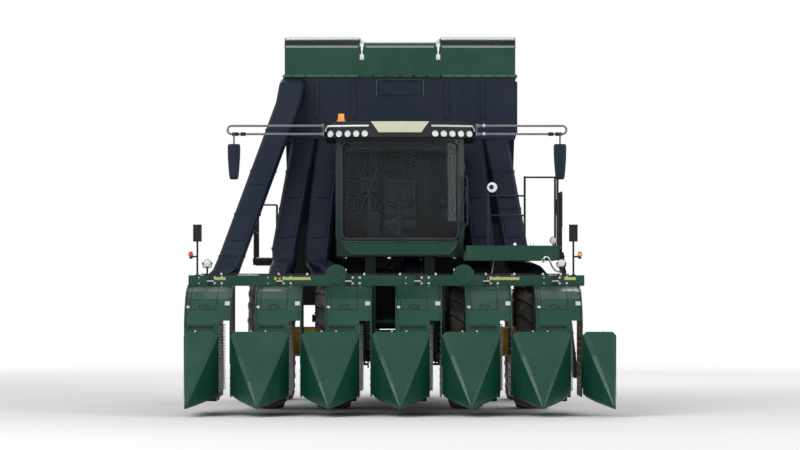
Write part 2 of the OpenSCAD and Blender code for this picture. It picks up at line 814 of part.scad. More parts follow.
// A closed skin over rings of eight points
module skin(rings) {
    n = len(rings);
    polyhedron(
        points = [for (r = rings) each r],
        faces = concat(
            [[for (k = [0 : 7]) k]],
            [[for (k = [7 : -1 : 0]) (n - 1) * 8 + k]],
            [for (i = [0 : n - 2], k = [0 : 7]) let (
                a = i * 8 + k,
                b = i * 8 + (k + 1) % 8
            ) each [[a, a + 8, b + 8], [a, b + 8, b]]]
        )
    );
}

module duct(table) skin([for (s = table) ring(s)]);

mouth_y = unit_rear + 30;
mouth_z = unit_top - duct_d / 2 + 10;
function mouth_x(i) = unit_x(i) + (unit_w - passage_w - panel_t) / 2;
column_y = acc_front + duct_d / 2 + 10;
column_foot = cab_lo + 120;

module side_duct(i, low_x, high_x) duct([
    [mouth_x(i), mouth_y, mouth_z, 0, mouth_w, duct_d],
    [mouth_x(i), mouth_y + 220, mouth_z + 50, 18, mouth_w, duct_d],
    [(mouth_x(i) + low_x) / 2, mouth_y + 650, cab_lo - 270, 35, duct_w - 60, duct_d],
    [low_x, mouth_y + 1000, cab_lo - 90, 72, duct_w - 30, duct_d],
    [low_x, mouth_y + 1120, column_foot, 90, duct_w, duct_d],
    [high_x, column_y, acc_lo - seat, 90, duct_w, duct_d]
]);

module air_ducts() machine() color(black) {
    outer_low = acc_x - 35;
    outer_high = acc_x - 285;
    inner_low = cab_x + 285;
    inner_high = cab_x + 145;
    side_duct(2, -outer_low, -outer_high);
    side_duct(3, -inner_low, -inner_high);
    side_duct(5, inner_low, inner_high);
    side_duct(6, outer_low, outer_high);
    // duct of the fourth row, under the cab's floor and up behind it
    duct([
        [mouth_x(4), mouth_y, mouth_z, 0, mouth_w, duct_d],
        [mouth_x(4), mouth_y + 220, mouth_z + 50, 18, mouth_w, duct_d],
        [mouth_x(4), mouth_y + 700, cab_lo - 270, 20, duct_w - 60, duct_d],
        [mouth_x(4), mouth_y + 1400, cab_lo - 205, 0, duct_w - 60, duct_d],
        [mouth_x(4), cab_rear + 140, cab_lo - 155, 45, duct_w - 60, duct_d],
        [mouth_x(4), cab_rear + 270, cab_lo + 140, 90, duct_w - 60, duct_d],
        [mouth_x(4), cab_rear + 290, cab_hi - 270, 90, duct_w - 60, duct_d],
        [mouth_x(4), column_y, acc_lo - seat, 90, duct_w - 60, duct_d]
    ]);
    // duct of the first row, outside the others and into the front wall
    duct([
        [mouth_x(1), mouth_y, mouth_z, 0, mouth_w, duct_d],
        [mouth_x(1) + 30, mouth_y + 230, mouth_z + 90, 35, mouth_w + 40, duct_d],
        [-acc_x - 770, mouth_y + 370, cab_lo - 210, 80, duct_w, duct_d],
        [-acc_x - 695, mouth_y + 500, cab_lo, 90, duct_w, duct_d],
        [-acc_x + 65, acc_front - 260, acc_seam - 400, 88, duct_w, duct_d],
        [-acc_x + 110, acc_front - 130, acc_seam - 210, 45, duct_w, duct_d],
        [-acc_x + 125, acc_front - seat, acc_seam - 180, 0, duct_w, duct_d]
    ]);
}

// Mirrors

module mirror_arm(out) {
    root_x = roof_w / 2;
    y = -cab_front - 60;
    z = cab_hi + 50;
    loop = 58;
    // foot plate on the roof's side
    block([root_x + seat, root_x + 14], [y - 24, y + 150], [z - 30, z + 2 * loop + 30]);
    for (h = [z, z + 2 * loop])
        bar([root_x + 13, y, h], [out - loop, y, h], 16);
    translate([out - loop, y, z + loop]) rotate([90, 0, 0]) rotate([0, 0, -90])
        rotate_extrude(angle = 180) translate([loop, 0]) circle(r = 16, $fn = 24);
    bar([out - 90, y, z - 150], [out - 90, y, z], 13);
    block([out - 180, out], [y - 25, y + 35], [z - 640, z - 140]);
}

module mirrors() machine() color(black) {
    mirror_arm(2345);
    mirror([1, 0, 0]) mirror_arm(2430);
}

// Module chamber

module drum_half(x, r, rear)
    intersection() {
        cross(x, drum_y, drum_z, r);
        block([x[0] - 1, x[1] + 1],
            rear ? [drum_y + gap, drum_y + r + 10] : [drum_y - r - 10, drum_y],
            [drum_z - r - 10, drum_z + r + 10]);
    }

gate_hinge = [drum_y - 50, drum_z + drum_r + 70];
gate_hinge_r = 40;
front_rollers = [105, 135, 215, 240, 262];
gate_rollers = [-78, -48, -16, 16, 48, 76];

module rollers(angles)
    for (a = angles)
        cross([-side_x - 1, side_x + 1], drum_y + (belt_r - roller_r) * cos(a),
            drum_z + (belt_r - roller_r) * sin(a), roller_r);

module chamber_sides() machine() color(green) {
    web_y = drum_y - 0.68 * drum_r;
    difference() {
        union() {
            sides() {
                drum_half([side_x, side_out], drum_r, false);
                // web from the chamber to the accumulator
                block([side_x, side_out], [acc_rear + seat, web_y],
                    [rail_hi + 100, drum_z + 0.83 * drum_r]);
                // feet on the frame rails
                block([rail_in, side_out], [web_y - 200, web_y - 100],
                    [rail_hi, rail_hi + 150]);
                // ears of the gate hinge
                plate([side_x, side_out], [
                    [drum_y - 500, gate_hinge[1] - 300], [drum_y - 20, gate_hinge[1] - 200],
                    [gate_hinge[0] + 45, gate_hinge[1] + 70],
                    [gate_hinge[0] - 60, gate_hinge[1] + 70]
                ]);
            }
            rollers(front_rollers);
        }
        cross([-side_out - 1, side_out + 1], gate_hinge[0], gate_hinge[1],
            gate_hinge_r + fit);
    }
}

module belt_strips(lo, hi) {
    count = 7;
    pitch = drum_w / count;
    for (i = [0 : count - 1])
        translate([-drum_w / 2 + (i + 0.5) * pitch, drum_y, drum_z]) rotate([90, 0, 90])
            rotate([0, 0, lo]) rotate_extrude(angle = hi - lo)
                translate([belt_r + seat, -pitch * 0.42]) square([belt_t, pitch * 0.84]);
}

module chamber_belts() machine() color(rubber) belt_strips(100, 268);

module gate_frame() machine() color(green) {
    arm_in = side_out + gap;
    sides() {
        drum_half([side_x, side_out], drum_r, true);
        plate([arm_in, arm_in + side_t], [
            [gate_hinge[0] - 50, gate_hinge[1] - 40],
            [gate_hinge[0] - 50, gate_hinge[1] + 50],
            [gate_hinge[0] + 50, gate_hinge[1] + 50],
            [drum_y + 450, gate_hinge[1] - 300], [drum_y + 450, gate_hinge[1] - 450],
            [drum_y + 60, gate_hinge[1] - 450]
        ]);
        block([side_out - 1, arm_in + 1], [drum_y + 80, drum_y + 430],
            [gate_hinge[1] - 430, gate_hinge[1] - 310]);
        cross([arm_in + 1, gate_ram_x + 50], gate_eye[0], gate_eye[1], ram_pin_r);
        // stiffening ribs on the gate's side
        translate([0, drum_y, drum_z]) for (a = [-60, -25, 10]) rotate([a, 0, 0])
            block([side_out - 1, side_out + 35], [170, drum_r - 80], [-35, 35]);
    }
    cross([-arm_in - side_t, arm_in + side_t], gate_hinge[0], gate_hinge[1],
        gate_hinge_r);
    rollers(gate_rollers);
}

module gate_belts() machine() color(rubber) belt_strips(-86, 84);

// Rams: a barrel on a foot pin and a rod with an eye wide enough for the play it
// needs while the piece it moves turns

function along(foot, eye, d) = foot + d * (eye - foot) / norm(eye - foot);

module ram_barrel(x, foot, eye, length, r, rod_r) {
    bottom = along(foot, eye, ram_pin_r + 14);
    tip = along(foot, eye, length);
    past = along(foot, eye, length + 1);
    difference() {
        union() {
            bar([x, foot[0], foot[1]], [x, tip[0], tip[1]], r);
            cross([x - r * 0.6, x + r * 0.6], foot[0], foot[1], r + 8);
        }
        cross([x - r - 1, x + r + 1], foot[0], foot[1], ram_pin_r + fit);
        bar([x, bottom[0], bottom[1]], [x, past[0], past[1]], rod_r + fit);
    }
}

module ram_rod(x, foot, eye, start, r, eye_r) {
    a = along(foot, eye, start);
    difference() {
        union() {
            bar([x, a[0], a[1]], [x, eye[0], eye[1]], r);
            cross([x - r * 0.7, x + r * 0.7], eye[0], eye[1], eye_r + 14);
        }
        cross([x - r - 1, x + r + 1], eye[0], eye[1], eye_r);
    }
}

gate_ram_x = side_out + 195;
gate_foot = [drum_y - 600, gate_hinge[1] - 350];
gate_eye = [drum_y + 100, gate_hinge[1] - 300];

module gate_barrels() machine() color(black) sides()
    ram_barrel(gate_ram_x, gate_foot, gate_eye, 560, 45, 25);

module gate_rods() machine() color(grey) sides()
    ram_rod(gate_ram_x, gate_foot, gate_eye, 270, 25, 50);

// Module handler

handler_z = rail_lo - 70;
handler_x = [rail_out + 60, rail_out + 120];
handler_r = 40;
handler_foot = [handler_y - 100, handler_z - 240];
handler_eye = [handler_y + 250, handler_z - 120];
handler_ram_x = handler_x[1] + 40;

module handler() machine() color(black) {
    difference() {
        union() {
            sides() plate(handler_x, [
                [handler_y - 70, handler_z - 70], [tail - 60, handler_z - 80],
                [tail, handler_z - 40], [tail, handler_z + 80],
                [handler_y + 100, handler_z + 120], [handler_y - 70, handler_z + 70]
            ]);
            for (y = [handler_y + 350, handler_y + 750, tail - 90])
                cross([-1000, 1000], y, handler_z + 10, 60);
            // lugs and pins of the handler's rams
            sides() {
                plate(handler_x, [
                    [handler_eye[0] - 60, handler_z - 20],
                    [handler_eye[0] - 40, handler_eye[1] - 40],
                    [handler_eye[0] + 40, handler_eye[1] - 40],
                    [handler_eye[0] + 60, handler_z - 20]
                ]);
                cross([handler_x[1] - 1, handler_ram_x + 30], handler_eye[0],
                    handler_eye[1], ram_pin_r);
            }
        }
        sides() cross([handler_x[0] - 1, handler_x[1] + 6], handler_y, handler_z,
            handler_r + fit);
    }
}

module handler_barrels() machine() color(black) sides()
    ram_barrel(handler_ram_x, handler_foot, handler_eye, 205, 30, 18);

module handler_rods() machine() color(grey) sides()
    ram_rod(handler_ram_x, handler_foot, handler_eye, 145, 18, 28);

// Head lift

arm_root = [-pivot_y, pivot_z];
arm_front = [unit_rear + 90, pivot_z - arm_drop];

module link(x, root, tip, h, root_r, tip_r) {
    a = atan2(tip[1] - root[1], tip[0] - root[0]);
    l = norm(tip - root);
    difference() {
        union() {
            translate([0, root[0], root[1]]) rotate([a, 0, 0])
                block(x, [0, l], [-h / 2, h / 2]);
            cross(x, root[0], root[1], h / 2 + 8);
            cross(x, tip[0], tip[1], h / 2 + 8);
        }
        if (root_r > 0) cross([x[0] - 1, x[1] + 1], root[0], root[1], root_r + fit);
        cross([x[0] - 1, x[1] + 1], tip[0], tip[1], tip_r + fit);
    }
}

module lift_arms() machine() color(green) {
    sides() {
        difference() {
            link(arm_x, arm_root, arm_front, arm_h, 0, pin_r);
            // pocket over the ram's eye
            cross([arm_x[0] + 18, arm_x[1] - 18], lift_eye[0], lift_eye[1], 60);
        }
        // clevis and pin of the lift ram
        for (x = [arm_x[0], arm_x[1] - 18])
            plate([x, x + 18], [
                [lift_eye[0] - 90, lift_eye[1] + 90], [lift_eye[0] - 30, lift_eye[1] - 30],
                [lift_eye[0] + 30, lift_eye[1] - 30], [lift_eye[0] + 90, lift_eye[1] + 140]
            ]);
        cross([arm_x[0] + 1, arm_x[1] - 1], lift_eye[0], lift_eye[1], ram_pin_r);
    }
    cross([-arm_x[0] - 1, arm_x[0] + 1], -pivot_y, pivot_z, torsion_r);
}

module upper_links() machine() color(green)
    sides() link([arm_x[0], arm_x[0] + 50], arm_root + [0, link_rise],
        arm_front + [0, link_rise], 80, link_pin_r, link_pin_r);

lift_foot = [-pivot_y + 100, pivot_z - 560];
lift_eye = arm_root + 0.7403 * (arm_front - arm_root) - [0, 115.6];
lift_x = (arm_x[0] + arm_x[1]) / 2;

module lift_barrels() machine() color(black) sides()
    ram_barrel(lift_x, lift_foot, lift_eye, 620, 38, 22);

module lift_rods() machine() color(grey) sides()
    ram_rod(lift_x, lift_foot, lift_eye, 300, 22, 32);

// Picking head

module toolbar() machine() color(green) {
    ear_t = 20;
    ear_z = [arm_front[1] - 110, arm_front[1] + link_rise + 130];
    mast_x = [arm_x[0] - gap - ear_t, arm_x[1] + gap + ear_t];
    mast_y = [unit_rear + 4, unit_rear + 29];
    block([-head_x, head_x - 380], bar_y, bar_z);
    sides() {
        for (x = [mast_x[0], mast_x[1] - ear_t])
            plate([x, x + ear_t], [
                [mast_y[0], ear_z[0]], [unit_rear + 170, ear_z[0]],
                [unit_rear + 170, ear_z[1]], [mast_y[1], ear_z[1] + 20],
                [mast_y[0], ear_z[1] + 20]
            ]);
        // mast from the link ears up and forward to the bar
        block(mast_x, mast_y, [arm_front[1] + link_rise - 40, bar_z[1]]);
        block(mast_x, [bar_y[1] - 1, mast_y[1]], [bar_z[0] + 10, bar_z[1]]);
        cross([mast_x[0] + 1, mast_x[1] - 1], arm_front[0], arm_front[1], pin_r);
        cross([mast_x[0] + 1, mast_x[1] - 1], arm_front[0], arm_front[1] + link_rise,
            link_pin_r);
        // domed covers on the bar
        translate([cab_x - 10, bar_y[0], bar_z[1]]) rotate([-90, 0, 0])
            cylinder(h = bar_h, r = bar_h);
    }
}

// Side outline of a unit's cabinet from a share of its length forwards, grown by e at
// its upper and front faces
hood_points = [
    [0, 0], [0.30, 0], [0.45, 20], [0.62, 75], [0.78, 180], [0.91, 330], [1, 520]
];
function cabinet(e, lo, start) = concat(
    [[unit_rear - start * unit_len, lo]],
    [for (p = hood_points) if (p[0] >= start) [
        unit_rear - p[0] * unit_len - (p[0] > 0.5 ? e : 0), unit_top - p[1] + e
    ]],
    [[unit_front - e, lo]]
);

// One section of a nose: [y, left, right, low, high, bevel]
function nose_ring(s) = [
    [s[1], s[0], s[3] + s[5]], [s[1], s[0], s[4] - s[5]],
    [s[1] + s[5], s[0], s[4]], [s[2] - s[5], s[0], s[4]],
    [s[2], s[0], s[4] - s[5]], [s[2], s[0], s[3] + s[5]],
    [s[2] - s[5], s[0], s[3]], [s[1] + s[5], s[0], s[3]]
];

nose_left = row_pitch / 2 - row_inset - seat;
nose_right = row_pitch / 2 - passage_w / 2;

// A nose about the furrow fx, with its left and right shares of the full width
module nose(fx, left, right) {
    top = passage_top - 150 - unit_lo;
    skin([
        nose_ring([nose_tip, fx - 15, fx + 15, 0.46 * unit_lo, 0.65 * unit_lo, 8]),
        nose_ring([unit_front - 0.94 * nose_len, fx - 0.13 * left, fx + 0.13 * right,
            0.5 * unit_lo, unit_lo, 18]),
        nose_ring([unit_front - 0.76 * nose_len, fx - 0.36 * left, fx + 0.36 * right,
            0.6 * unit_lo, unit_lo + 0.26 * top, 35]),
        nose_ring([unit_front - 0.42 * nose_len, fx - 0.72 * left, fx + 0.72 * right,
            0.8 * unit_lo, unit_lo + 0.66 * top, 45]),
        nose_ring([unit_front - 60, fx - left, fx + right, unit_lo, unit_lo + top, 50]),
        nose_ring([unit_front + 60, fx - left, fx + right, unit_lo, unit_lo + top, 50])
    ]);
}

module row_unit(i) {
    x = [unit_x(i), unit_x(i) + unit_w];
    pass = [row_x(i) - passage_w / 2, row_x(i) + passage_w / 2];
    difference() {
        union() {
            plate(x, cabinet(0, unit_lo, 0));
            // raised edges of the hood
            for (ex = [x[0], x[1] - 14])
                plate([ex, ex + 14], cabinet(22, passage_top - 100, 0.3));
            // rails under the picking side
            plate([x[0] + 40, pass[0] - 40], [
                [unit_rear - 80, unit_lo + 1], [unit_front + 120, unit_lo + 1],
                [unit_front + 220, unit_lo - 60], [unit_rear - 200, unit_lo - 60]
            ]);
        }
        block(pass, [unit_front - 30, unit_rear + 1], [unit_lo - 1, passage_top]);
        // window between the hood's edge and the picking side
        block([pass[1] - 1, x[1] + 1], [unit_front - 30, unit_front + 160],
            [unit_lo - 1, unit_lo + 0.45 * passage_h]);
        block([x[0] + 60, pass[0] - 60], [unit_front - 1, unit_front + 40],
            [passage_top - 120, passage_top - 70]);
    }
    nose(furrow_x(i), i == 1 ? head_x + furrow_x(1) : nose_left, nose_right);
}

module row_units() machine() color(green)
    for (i = [1 : row_count]) row_unit(i);

module end_divider() machine() color(green) {
    fx = furrow_x(row_count + 1);
    nose(fx, nose_left, head_x - fx);
    // low side panel back along the last unit
    block([head_x - 30, head_x], [unit_front + 59, unit_rear - 300],
        [unit_lo + 100, passage_top - 400]);
    block([row_x(row_count) + row_inset + seat, head_x], [unit_rear - 420, unit_rear - 380],
        [unit_lo + 100, passage_top - 400]);
}

// Places its children on the hood's slope at share p of the unit's length
module on_hood(x, p) {
    slope = atan2(lookup(p + 0.01, hood_points) - lookup(p - 0.01, hood_points),
        0.02 * unit_len);
    translate([x, unit_rear - p * unit_len, unit_top - lookup(p, hood_points)])
        rotate([slope, 0, 0]) translate([0, 0, seat]) children();
}

module hood_latches() machine() color(grey)
    for (i = [1 : row_count]) {
        // square latch near the crop-side edge and a round one near the far edge
        on_hood(row_x(i) + 38, 0.845) block([-35, 35], [-40, 40], [0, 18]);
        on_hood(unit_x(i) + 45, 0.885) cylinder(h = 14, r = 25);
    }

module marker_lamps() machine() color(black)
    for (x = [-head_x + 120, head_x - 530]) {
        side = x > 0 ? 1 : -1;
        y = bar_y[0] + 75;
        z = bar_z[1] + seat;
        block([x - 30, x + 30], [y - 30, y + 30], [z, z + 12]);
        bar([x, y, z], [x, y, z + 480], 14);
        block([x - 60, x + 60], [y - 25, y + 25], [z + 470, z + 710]);
        // bracket out to the amber lamp
        bar([x, y, z + 260], [x + side * 90, y, z + 260], 12);
        block([x + side * 90 - 22, x + side * 90 + 22], [y - 20, y + 20],
            [z + 230, z + 330]);
    }

module marker_lenses() machine() color(amber)
    for (x = [-head_x + 120, head_x - 530]) {
        side = x > 0 ? 1 : -1;
        y = bar_y[0] + 55 - seat;
        translate([x + side * 90, y, bar_z[1] + 290]) rotate([90, 0, 0])
            cylinder(h = 30, r = 34);
    }

// Wheels

// One lug: from just past the middle of the tread out over the shoulder
module lug(ro, w) {
    reach = 0.82 * w;
    plate([ro - 0.42 * (ro - 500), ro + 1], [
        [34, -14], [-34, -14], [-34 - 0.45 * reach, 0.45 * w], [-20 - reach, w + 1],
        [44 - reach, w + 1], [34 - 0.45 * reach, 0.45 * w]
    ]);
}

module tyre(d, rim_d, lugs) {
    ro = d / 2;
    rb = rim_d / 2;
    w = tyre_w / 2;
    s = ro - rb;
    rc = ro - lug_h;
    rotate([0, 90, 0]) {
        rotate_extrude($fn = 64) polygon([
            [rb, -0.72 * w], [rb + 0.22 * s, -0.94 * w], [rb + 0.5 * s, -0.98 * w],
            [rc - 0.2 * s, -0.93 * w], [rc - 0.06 * s, -0.8 * w], [rc, -0.5 * w],
            [rc, 0.5 * w], [rc - 0.06 * s, 0.8 * w], [rc - 0.2 * s, 0.93 * w],
            [rb + 0.5 * s, 0.98 * w], [rb + 0.22 * s, 0.94 * w], [rb, 0.72 * w]
        ]);
        intersection() {
            rotate_extrude($fn = 64) polygon([
                [rb + 0.5 * s, -0.97 * w], [ro - 0.22 * s, -w], [ro - 0.05 * s, -0.9 * w],
                [ro, -0.6 * w], [ro, 0.6 * w], [ro - 0.05 * s, 0.9 * w],
                [ro - 0.22 * s, w], [rb + 0.5 * s, 0.97 * w]
            ]);
            for (i = [0 : lugs - 1]) {
                rotate([0, 0, i * 360 / lugs]) lug(ro, w);
                rotate([0, 0, (i + 0.5) * 360 / lugs]) mirror([0, 0, 1]) lug(ro, w);
            }
        }
    }
}

// Rim with a dished disc whose middle lies at disc_x; lean is the dish's depth
module rim(rim_d, disc_x, lean, hub_r) {
    rb = rim_d / 2;
    w = tyre_w * 0.36;
    t = disc_t;
    rotate([0, 90, 0]) difference() {
        rotate_extrude($fn = 64) polygon([
            [rb - 26, -w - 24], [rb + 14, -w - 24], [rb + 14, -w - 10], [rb - seat, -w - 2],
            [rb - seat, w + 2], [rb + 14, w + 10], [rb + 14, w + 24], [rb - 26, w + 24],
            [rb - 26, disc_x + t], [hub_r + 40, disc_x + t + lean], [0, disc_x + t + lean],
            [0, disc_x + lean], [hub_r + 40, disc_x + lean], [rb - 26, disc_x]
        ]);
        // hand holes
        for (a = [22.5 : 45 : 359])
            rotate([0, 0, a]) translate([0.5 * (hub_r + 40 + rb - 26), 0, -400])
                cylinder(h = 800, r = 42);
    }
}

module front_tyres() translate([0, 0, front_z])
    for (x = [inner_x, outer_x]) translate([x, 0, 0]) tyre(front_tyre_d, front_rim_d, 22);

module front_rims() translate([0, 0, front_z]) {
    hub_len = inner_x + 20 - hub_x;
    translate([inner_x, 0, 0]) rim(front_rim_d, 60, -60, 190);
    translate([outer_x, 0, 0]) rim(front_rim_d, -60, -60, 190);
    difference() {
        cross([hub_x, inner_x + 1], 0, 0, 190);
        cross([hub_x - 1, hub_x + 165], 0, 0, spindle_r + fit);
    }
    // spacer to the outer wheel and its hub
    cross([inner_x + 20, outer_x - 110], 0, 0, 215);
    cross([outer_x - 100, outer_x + 30], 0, 0, 140);
    for (a = [0 : 30 : 330])
        cross([outer_x - 97, outer_x - 70], 185 * cos(a), 185 * sin(a), 15);
}

module front_tyres_right() machine() color(rubber) mirror([1, 0, 0]) front_tyres();
module front_rims_right() machine() color(yellow) mirror([1, 0, 0]) front_rims();
module front_tyres_left() machine() color(rubber) front_tyres();
module front_rims_left() machine() color(yellow) front_rims();

module rear_tyre() translate([outer_x, wheelbase, rear_z])
    tyre(rear_tyre_d, rear_rim_d, 20);

module rear_rim() translate([outer_x, wheelbase, rear_z]) difference() {
    union() {
        rim(rear_rim_d, -20, 30, 120);
        cross([-150, 90], 0, 0, 130);
        for (a = [0 : 36 : 324]) cross([30, 52], 145 * cos(a), 145 * sin(a), 13);
    }
    cross([-151, 65], 0, 0, spindle_r + fit);
}

module rear_tyre_right() machine() color(rubber) mirror([1, 0, 0]) rear_tyre();
module rear_rim_right() machine() color(yellow) mirror([1, 0, 0]) rear_rim();
module rear_tyre_left() machine() color(rubber) rear_tyre();
module rear_rim_left() machine() color(yellow) rear_rim();

chassis();
front_brackets();
rear_brackets();
front_axle();
rear_axle();
engine();
side_boxes();
side_tanks();
side_shields();
cab_shell();
cab_fascia();
cab_roof();
visor_panel();
cab_glass();
cab_door();
door_glass();
operator_station();
seat_cushions();
landing();
landing_rails();
ladder();
service_deck();
accumulator();
accumulator_hood();
hood_trim();
air_ducts();
mirrors();
roof_lamps();
beacon();
chamber_sides();
chamber_belts();
gate_frame();
gate_belts();
gate_barrels();
gate_rods();
handler();
handler_barrels();
handler_rods();
lift_arms();
upper_links();
lift_barrels();
lift_rods();
toolbar();
row_units();
end_divider();
hood_latches();
marker_lamps();
marker_lenses();
front_tyres_right();
front_rims_right();
front_tyres_left();
front_rims_left();
knuckle_right();
knuckle_left();
tie_rod();
rear_tyre_right();
rear_rim_right();
rear_tyre_left();
rear_rim_left();
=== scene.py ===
"""Looks of the six-row cotton harvester: finishes, small parts, cab interior, seat, lights and camera.

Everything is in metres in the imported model's frame: -Y is the machine's front, +X its left side
(the ladder and door), +Z is up.
"""

import json
from functools import cached_property
from itertools import product
from math import asin, copysign, cos, exp, hypot, pi, radians, sin, sqrt

import bmesh
import bpy
from mathutils import Matrix, Vector
from mathutils.bvhtree import BVHTree


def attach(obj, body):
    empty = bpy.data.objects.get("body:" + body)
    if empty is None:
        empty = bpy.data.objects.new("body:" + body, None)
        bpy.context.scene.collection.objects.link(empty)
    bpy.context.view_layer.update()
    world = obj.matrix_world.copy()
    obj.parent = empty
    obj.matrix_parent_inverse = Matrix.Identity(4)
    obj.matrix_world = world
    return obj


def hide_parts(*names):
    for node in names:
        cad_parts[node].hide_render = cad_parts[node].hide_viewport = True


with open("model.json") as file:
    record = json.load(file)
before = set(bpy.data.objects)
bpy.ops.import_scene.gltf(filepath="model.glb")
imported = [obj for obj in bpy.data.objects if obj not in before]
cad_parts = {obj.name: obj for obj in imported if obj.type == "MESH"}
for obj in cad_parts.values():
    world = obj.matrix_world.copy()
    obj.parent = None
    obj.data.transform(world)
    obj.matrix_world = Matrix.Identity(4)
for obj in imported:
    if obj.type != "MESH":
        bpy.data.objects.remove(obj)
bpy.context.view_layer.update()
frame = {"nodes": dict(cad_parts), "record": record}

# Sizes shared with the CAD part

FRONT_AXLE_Y = -1.25
ROW_PITCH = 0.965
ROWS = [(i - 2.5) * ROW_PITCH for i in range(6)]
PASSAGE = 0.15
PANEL = 0.018
UNIT_W = 0.64
UNIT_LEN = 1.25
UNIT_REAR = FRONT_AXLE_Y - 1.73
UNIT_FRONT = UNIT_REAR - UNIT_LEN
UNIT_TOP = 1.78
UNIT_LEFTS = [row + PASSAGE / 2 + PANEL - UNIT_W for row in ROWS]
HOOD_POINTS = [(0, 0), (0.3, 0), (0.45, 0.02), (0.62, 0.075), (0.78, 0.18), (0.91, 0.33), (1, 0.52)]
NOSE_TIP = UNIT_FRONT - 0.72
HEAD_X = 2.9595
BAR_Y = UNIT_REAR - 0.32
BAR_TOP = UNIT_TOP + 0.15
DOMES = (-0.89, 0.89)
MARKERS = (-2.8395, 2.4295)
SIDE_LAMPS = ((-2.9295, -3.2455, 2.22), (2.5195, -3.2455, 2.22))
CAB_LO = 2.2
CAB_HI = 3.87
BOW_R = 2.6
BOW_Y = FRONT_AXLE_Y - 1.69 + BOW_R
ROOF_R = 2.8
ROOF_TOP = 4.1003
MIRRORS = ((1, 2.345), (-1, 2.43))
MIRROR_Y = -3.0
MIRROR_LOW, MIRROR_HIGH = 3.92, 4.036
MIRROR_HANG = 0.09
DECK_TOP = 2.26
DECK_FACE = DECK_TOP + 0.0003
LADDER_X = 2.2503
RAIL_X = 2.2853
COLUMNS = [((s * foot, -1.83, 2.32), (s * top, -0.72, 3.9497))
           for foot, top in ((1.665, 1.415), (1.185, 1.045)) for s in (-1, 1)]
CENTRE_DUCT = ((0.171, -0.96, 2.34), (0.171, -0.94, 3.6))
OUTER_DUCT = ((-2.395, -2.45, 2.2), (-1.635, -1.16, 4.46))
DUCT_DEPTH = 0.34
LEDGE_Z = 4.88
WALL_REAR = 1.849
HOOD_FACES = ((-0.9, -1), (1.85, 1))
CHAMBER_Y, CHAMBER_Z = 3.45, 2.5
BEARING_R = 1.195

SIDES = (-1, 1)
UP = (0, 0, 1)
FRONT = (0, -1, 0)
REAR = (0, 1, 0)

# Materials


class Nodes:
    """The node tree of a material or world, emptied to be filled."""

    def __init__(self, owner):
        owner.use_nodes = True
        self.tree = owner.node_tree
        self.tree.nodes.clear()

    @cached_property
    def coords(self):
        return self.add("TexCoord").outputs["Object"]

    def add(self, kind, inputs=None, **props):
        node = self.tree.nodes.new("ShaderNode" + kind)
        for key, value in props.items():
            setattr(node, key, value)
        for key, value in (inputs or {}).items():
            self.put(node.inputs[key], value)
        return node

    def put(self, socket, value):
        if isinstance(value, bpy.types.NodeSocket):
            self.tree.links.new(value, socket)
        elif socket.type == "RGBA" and len(value) == 3:
            socket.default_value = (*value, 1)
        else:
            socket.default_value = value

    def noise(self, scale, detail=3.0, rough=0.55):
        inputs = {"Vector": self.coords, "Scale": scale, "Detail": detail, "Roughness": rough}
        return self.add("TexNoise", inputs).outputs["Fac"]

    def ramp(self, value, low, high, out_low=0.0, out_high=1.0):
        inputs = {"Value": value, "From Min": low, "From Max": high, "To Min": out_low, "To Max": out_high}
        return self.add("MapRange", inputs, interpolation_type="SMOOTHSTEP").outputs["Result"]

    def math(self, operation, a, b):
        return self.add("Math", {0: a, 1: b}, operation=operation).outputs[0]

    def times(self, a, b):
        return self.math("MULTIPLY", a, b)

    def mix(self, factor, a, b):
        return self.add("Mix", {"Factor": factor, 6: a, 7: b}, data_type="RGBA").outputs[2]

    def wave(self, scale, **props):
        inputs = {"Vector": self.coords, "Scale": scale}
        return self.add("TexWave", inputs, **props)

    def height(self, vector):
        return self.add("SeparateXYZ", {0: vector}).outputs["Z"]

    def face_normal(self):
        return self.add("NewGeometry").outputs["Normal"]

    def edges(self, radius):
        """(rounded normal, mask that is 1 on edges and corners)."""
        rounded = self.add("Bevel", {"Radius": radius}, samples=4).outputs["Normal"]
        dot = self.add("VectorMath", {0: rounded, 1: self.face_normal()}, operation="DOT_PRODUCT")
        return rounded, self.ramp(dot.outputs["Value"], 0.995, 0.9)

    def bump(self, height, distance, normal=None):
        inputs = {"Height": height, "Distance": distance, "Strength": 1.0}
        if normal is not None:
            inputs["Normal"] = normal
        return self.add("Bump", inputs).outputs["Normal"]

    def seen_by_eye(self):
        """1 for camera, mirror and glass rays, 0 for the rays that light the object."""
        path = self.add("LightPath").outputs
        first = self.math("MAXIMUM", path["Is Camera Ray"], path["Is Transmission Ray"])
        return self.math("MAXIMUM", first, path["Is Glossy Ray"])

    def blend(self, factor, a, b, output):
        """Ends the tree with one shader fading into another."""
        mixed = self.add("MixShader", {0: factor, 1: a.outputs[0], 2: b.outputs[0]})
        self.add(output, {"Surface": mixed.outputs[0]})

    def finish(self, **sockets):
        """Ends a material with a Principled surface, its sockets given by name."""
        inputs = {key.replace("_", " "): value for key, value in sockets.items()}
        surface = self.add("BsdfPrincipled", inputs)
        self.add("OutputMaterial", {"Surface": surface.outputs[0]})


FINISHES = {}


def material(name):
    FINISHES[name] = bpy.data.materials.new(name)
    return Nodes(FINISHES[name])


def shade(color, factor):
    return tuple(min(1.0, c * factor) for c in color)


# Painted shade: this green is darker and bluer than the paint itself, as the paint looks in shade.
PAINTED_SHADE_GREEN = (0.005, 0.05, 0.032)
DUST = (0.3, 0.25, 0.19)
BARE_METAL = (0.42, 0.42, 0.4)
WHITE = (1, 1, 1)


